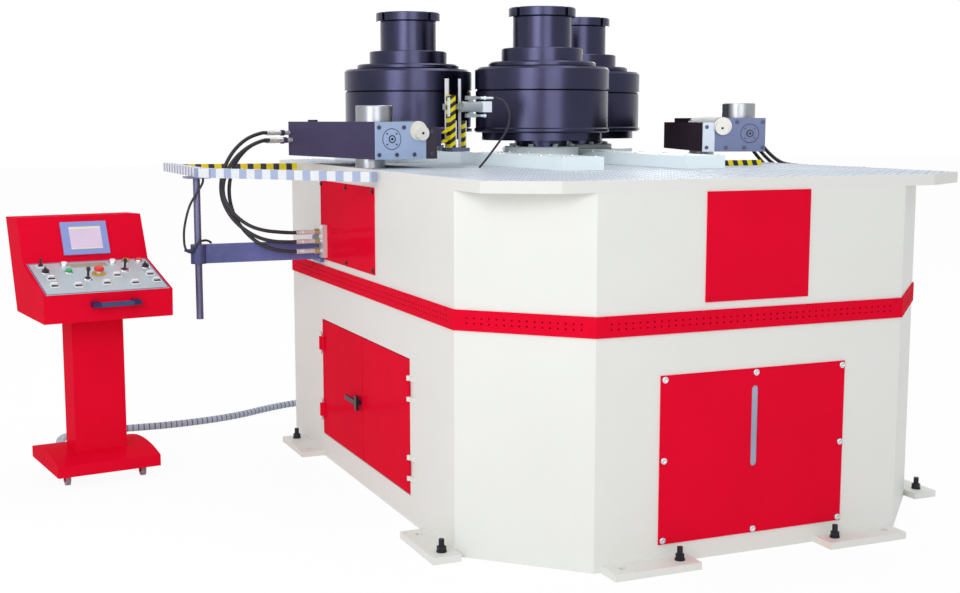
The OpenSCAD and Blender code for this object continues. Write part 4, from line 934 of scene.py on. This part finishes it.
for name, tint, slot, spots in (
    ("white_lamps", (0.84, 0.82, 0.84), "casing_white", white_spots),
    ("yellow_lamp", (0.80, 0.50, 0.02), "stripe_paint", yellow_spots),
    ("red_lamp", (0.75, 0.06, 0.05), "stop_red", red_spots),
):
    bm = bmesh.new()
    for place in spots:
        lathe(bm, lamp_profile, at_deck(place))
    lens = coat(name, tint, 0.22, mottle=0.04, coat_weight=0.3)
    fitted(name, bm, lens, "console", smooth=True)
ring_yellow = coat("ring_yellow", (0.52, 0.33, 0.03), 0.4, mottle=0.08)
bm = bmesh.new()
lathe(bm, collar(0.0128, 0.0276, 0.003, 0.0262, 0.0045), at_deck(stop_place))
fitted("stop_ring", bm, ring_yellow, "console", smooth=True)
switch_white = coat("switch_white", (0.88, 0.88, 0.90), 0.35, mottle=0.05)
rockers = (
    (0.133, 0.53), (0.121, 0.755), (0.299, 0.786), (0.523, 0.76), (0.643, 0.54), (0.739, 0.8),
    (0.905, 0.562), (0.918, 0.773),
)
key_place = (0.113, 0.13)
bm = bmesh.new()
for place in rockers + (key_place,):
    slab(bm, (-0.0165, -0.0150, 0.0), (0.0165, 0.0150, 0.0060), at_deck(place), bevel=0.0012)
for place in rockers:
    slab(bm, (-0.0130, 0.0002, 0.005), (0.0130, 0.0125, 0.0150), at_deck(place), bevel=0.001)
fitted("switch_frames", bm, switch_white, "console")
bm = bmesh.new()
for place in rockers:
    slab(bm, (-0.0130, -0.0125, 0.005), (0.0130, 0.0, 0.0085), at_deck(place), bevel=0.001)
key = at_deck(key_place)
lathe(bm, [(0.0, 0.006), (0.009, 0.006), (0.009, 0.013), (0.0, 0.013)], key)
slab(bm, (-0.003, -0.008, 0.012), (0.003, 0.008, 0.040), key, bevel=0.001)
fitted("switch_rockers", bm, knob_black, "console", smooth=True)

border_blue = coat("border_blue", (0.11, 0.11, 0.32), 0.4, mottle=0.08)
bm = bmesh.new()
edge_x, near_y, far_y, border_w, print_h = 0.2490, 0.0060, 0.3284, 0.005, 0.0004
for low, high in (
    ((-edge_x, near_y), (edge_x, near_y + border_w)),
    ((-edge_x, far_y - border_w), (edge_x, far_y)),
    ((-edge_x, near_y), (-edge_x + border_w, far_y)),
    ((edge_x - border_w, near_y), (edge_x, far_y)),
):
    slab(bm, (*low, deck_top), (*high, deck_top + print_h), deck_frame)
fitted("deck_border", bm, border_blue, "console")
scale_print = coat("scale_print", (0.62, 0.55, 0.30), 0.4, mottle=0.1)
deck_across = tuple(deck_frame.to_3x3() @ Vector(RIGHT))
scale_place, scale_pitch = (0.49, 0.14), 0.0085
repaint(scale_print, stripes(scale_print, scale_pitch, deck_across, 0.5), (0.10, 0.09, 0.13))
bm = bmesh.new()
slab(bm, (-0.076, -0.020, 0.0), (0.076, 0.020, 0.0006), at_deck(scale_place))
fitted("deck_scale", bm, scale_print, "console")


# Screen and handle: a moulded blue bezel round a lit glass, set in the box's sloped back, and a
# navy pull handle with a blue grip that is bolted to its front.
bezel_blue = coat("bezel_blue", (0.26, 0.32, 0.66), 0.4, mottle=0.05)
dress(["console_screen"], bezel_blue)
handle_navy = coat("handle_navy", (0.006, 0.012, 0.085), 0.35, mottle=0.15)
dress(["console_handle"], handle_navy)
screen_frame = console_frame @ turned((0, 0.025, 0.907), 64.80, "X")
screen_glow = coat("screen_glow", (0.74, 0.60, 0.78), 0.2, mottle=0.1, coat_weight=0.4)
screen_up = screen_frame.to_3x3() @ Vector(BACK)
screen_foot = screen_up.dot(screen_frame.translation)
rim_low, rim_high = screen_foot + 0.0585, screen_foot + 0.1445
repaint(screen_glow, beyond(screen_glow, tuple(screen_up), rim_high), (0.86, 0.78, 0.52))
repaint(screen_glow, beyond(screen_glow, tuple(-screen_up), -rim_low), (0.84, 0.74, 0.56))
bm = bmesh.new()
slab(bm, (-0.0577, 0.0533, 0.0075), (0.0755, 0.1533, 0.0086), screen_frame, bevel=0.0004)
fitted("screen_glass", bm, screen_glow, "console")
grip_blue = coat("grip_blue", (0.02, 0.06, 0.17), 0.4, mottle=0.1)
bm = bmesh.new()
slab(bm, (-0.0465, -0.3444, 0.7576), (0.0865, -0.3316, 0.7764), console_frame, bevel=0.002)
fitted("handle_grip", bm, grip_blue, "console")
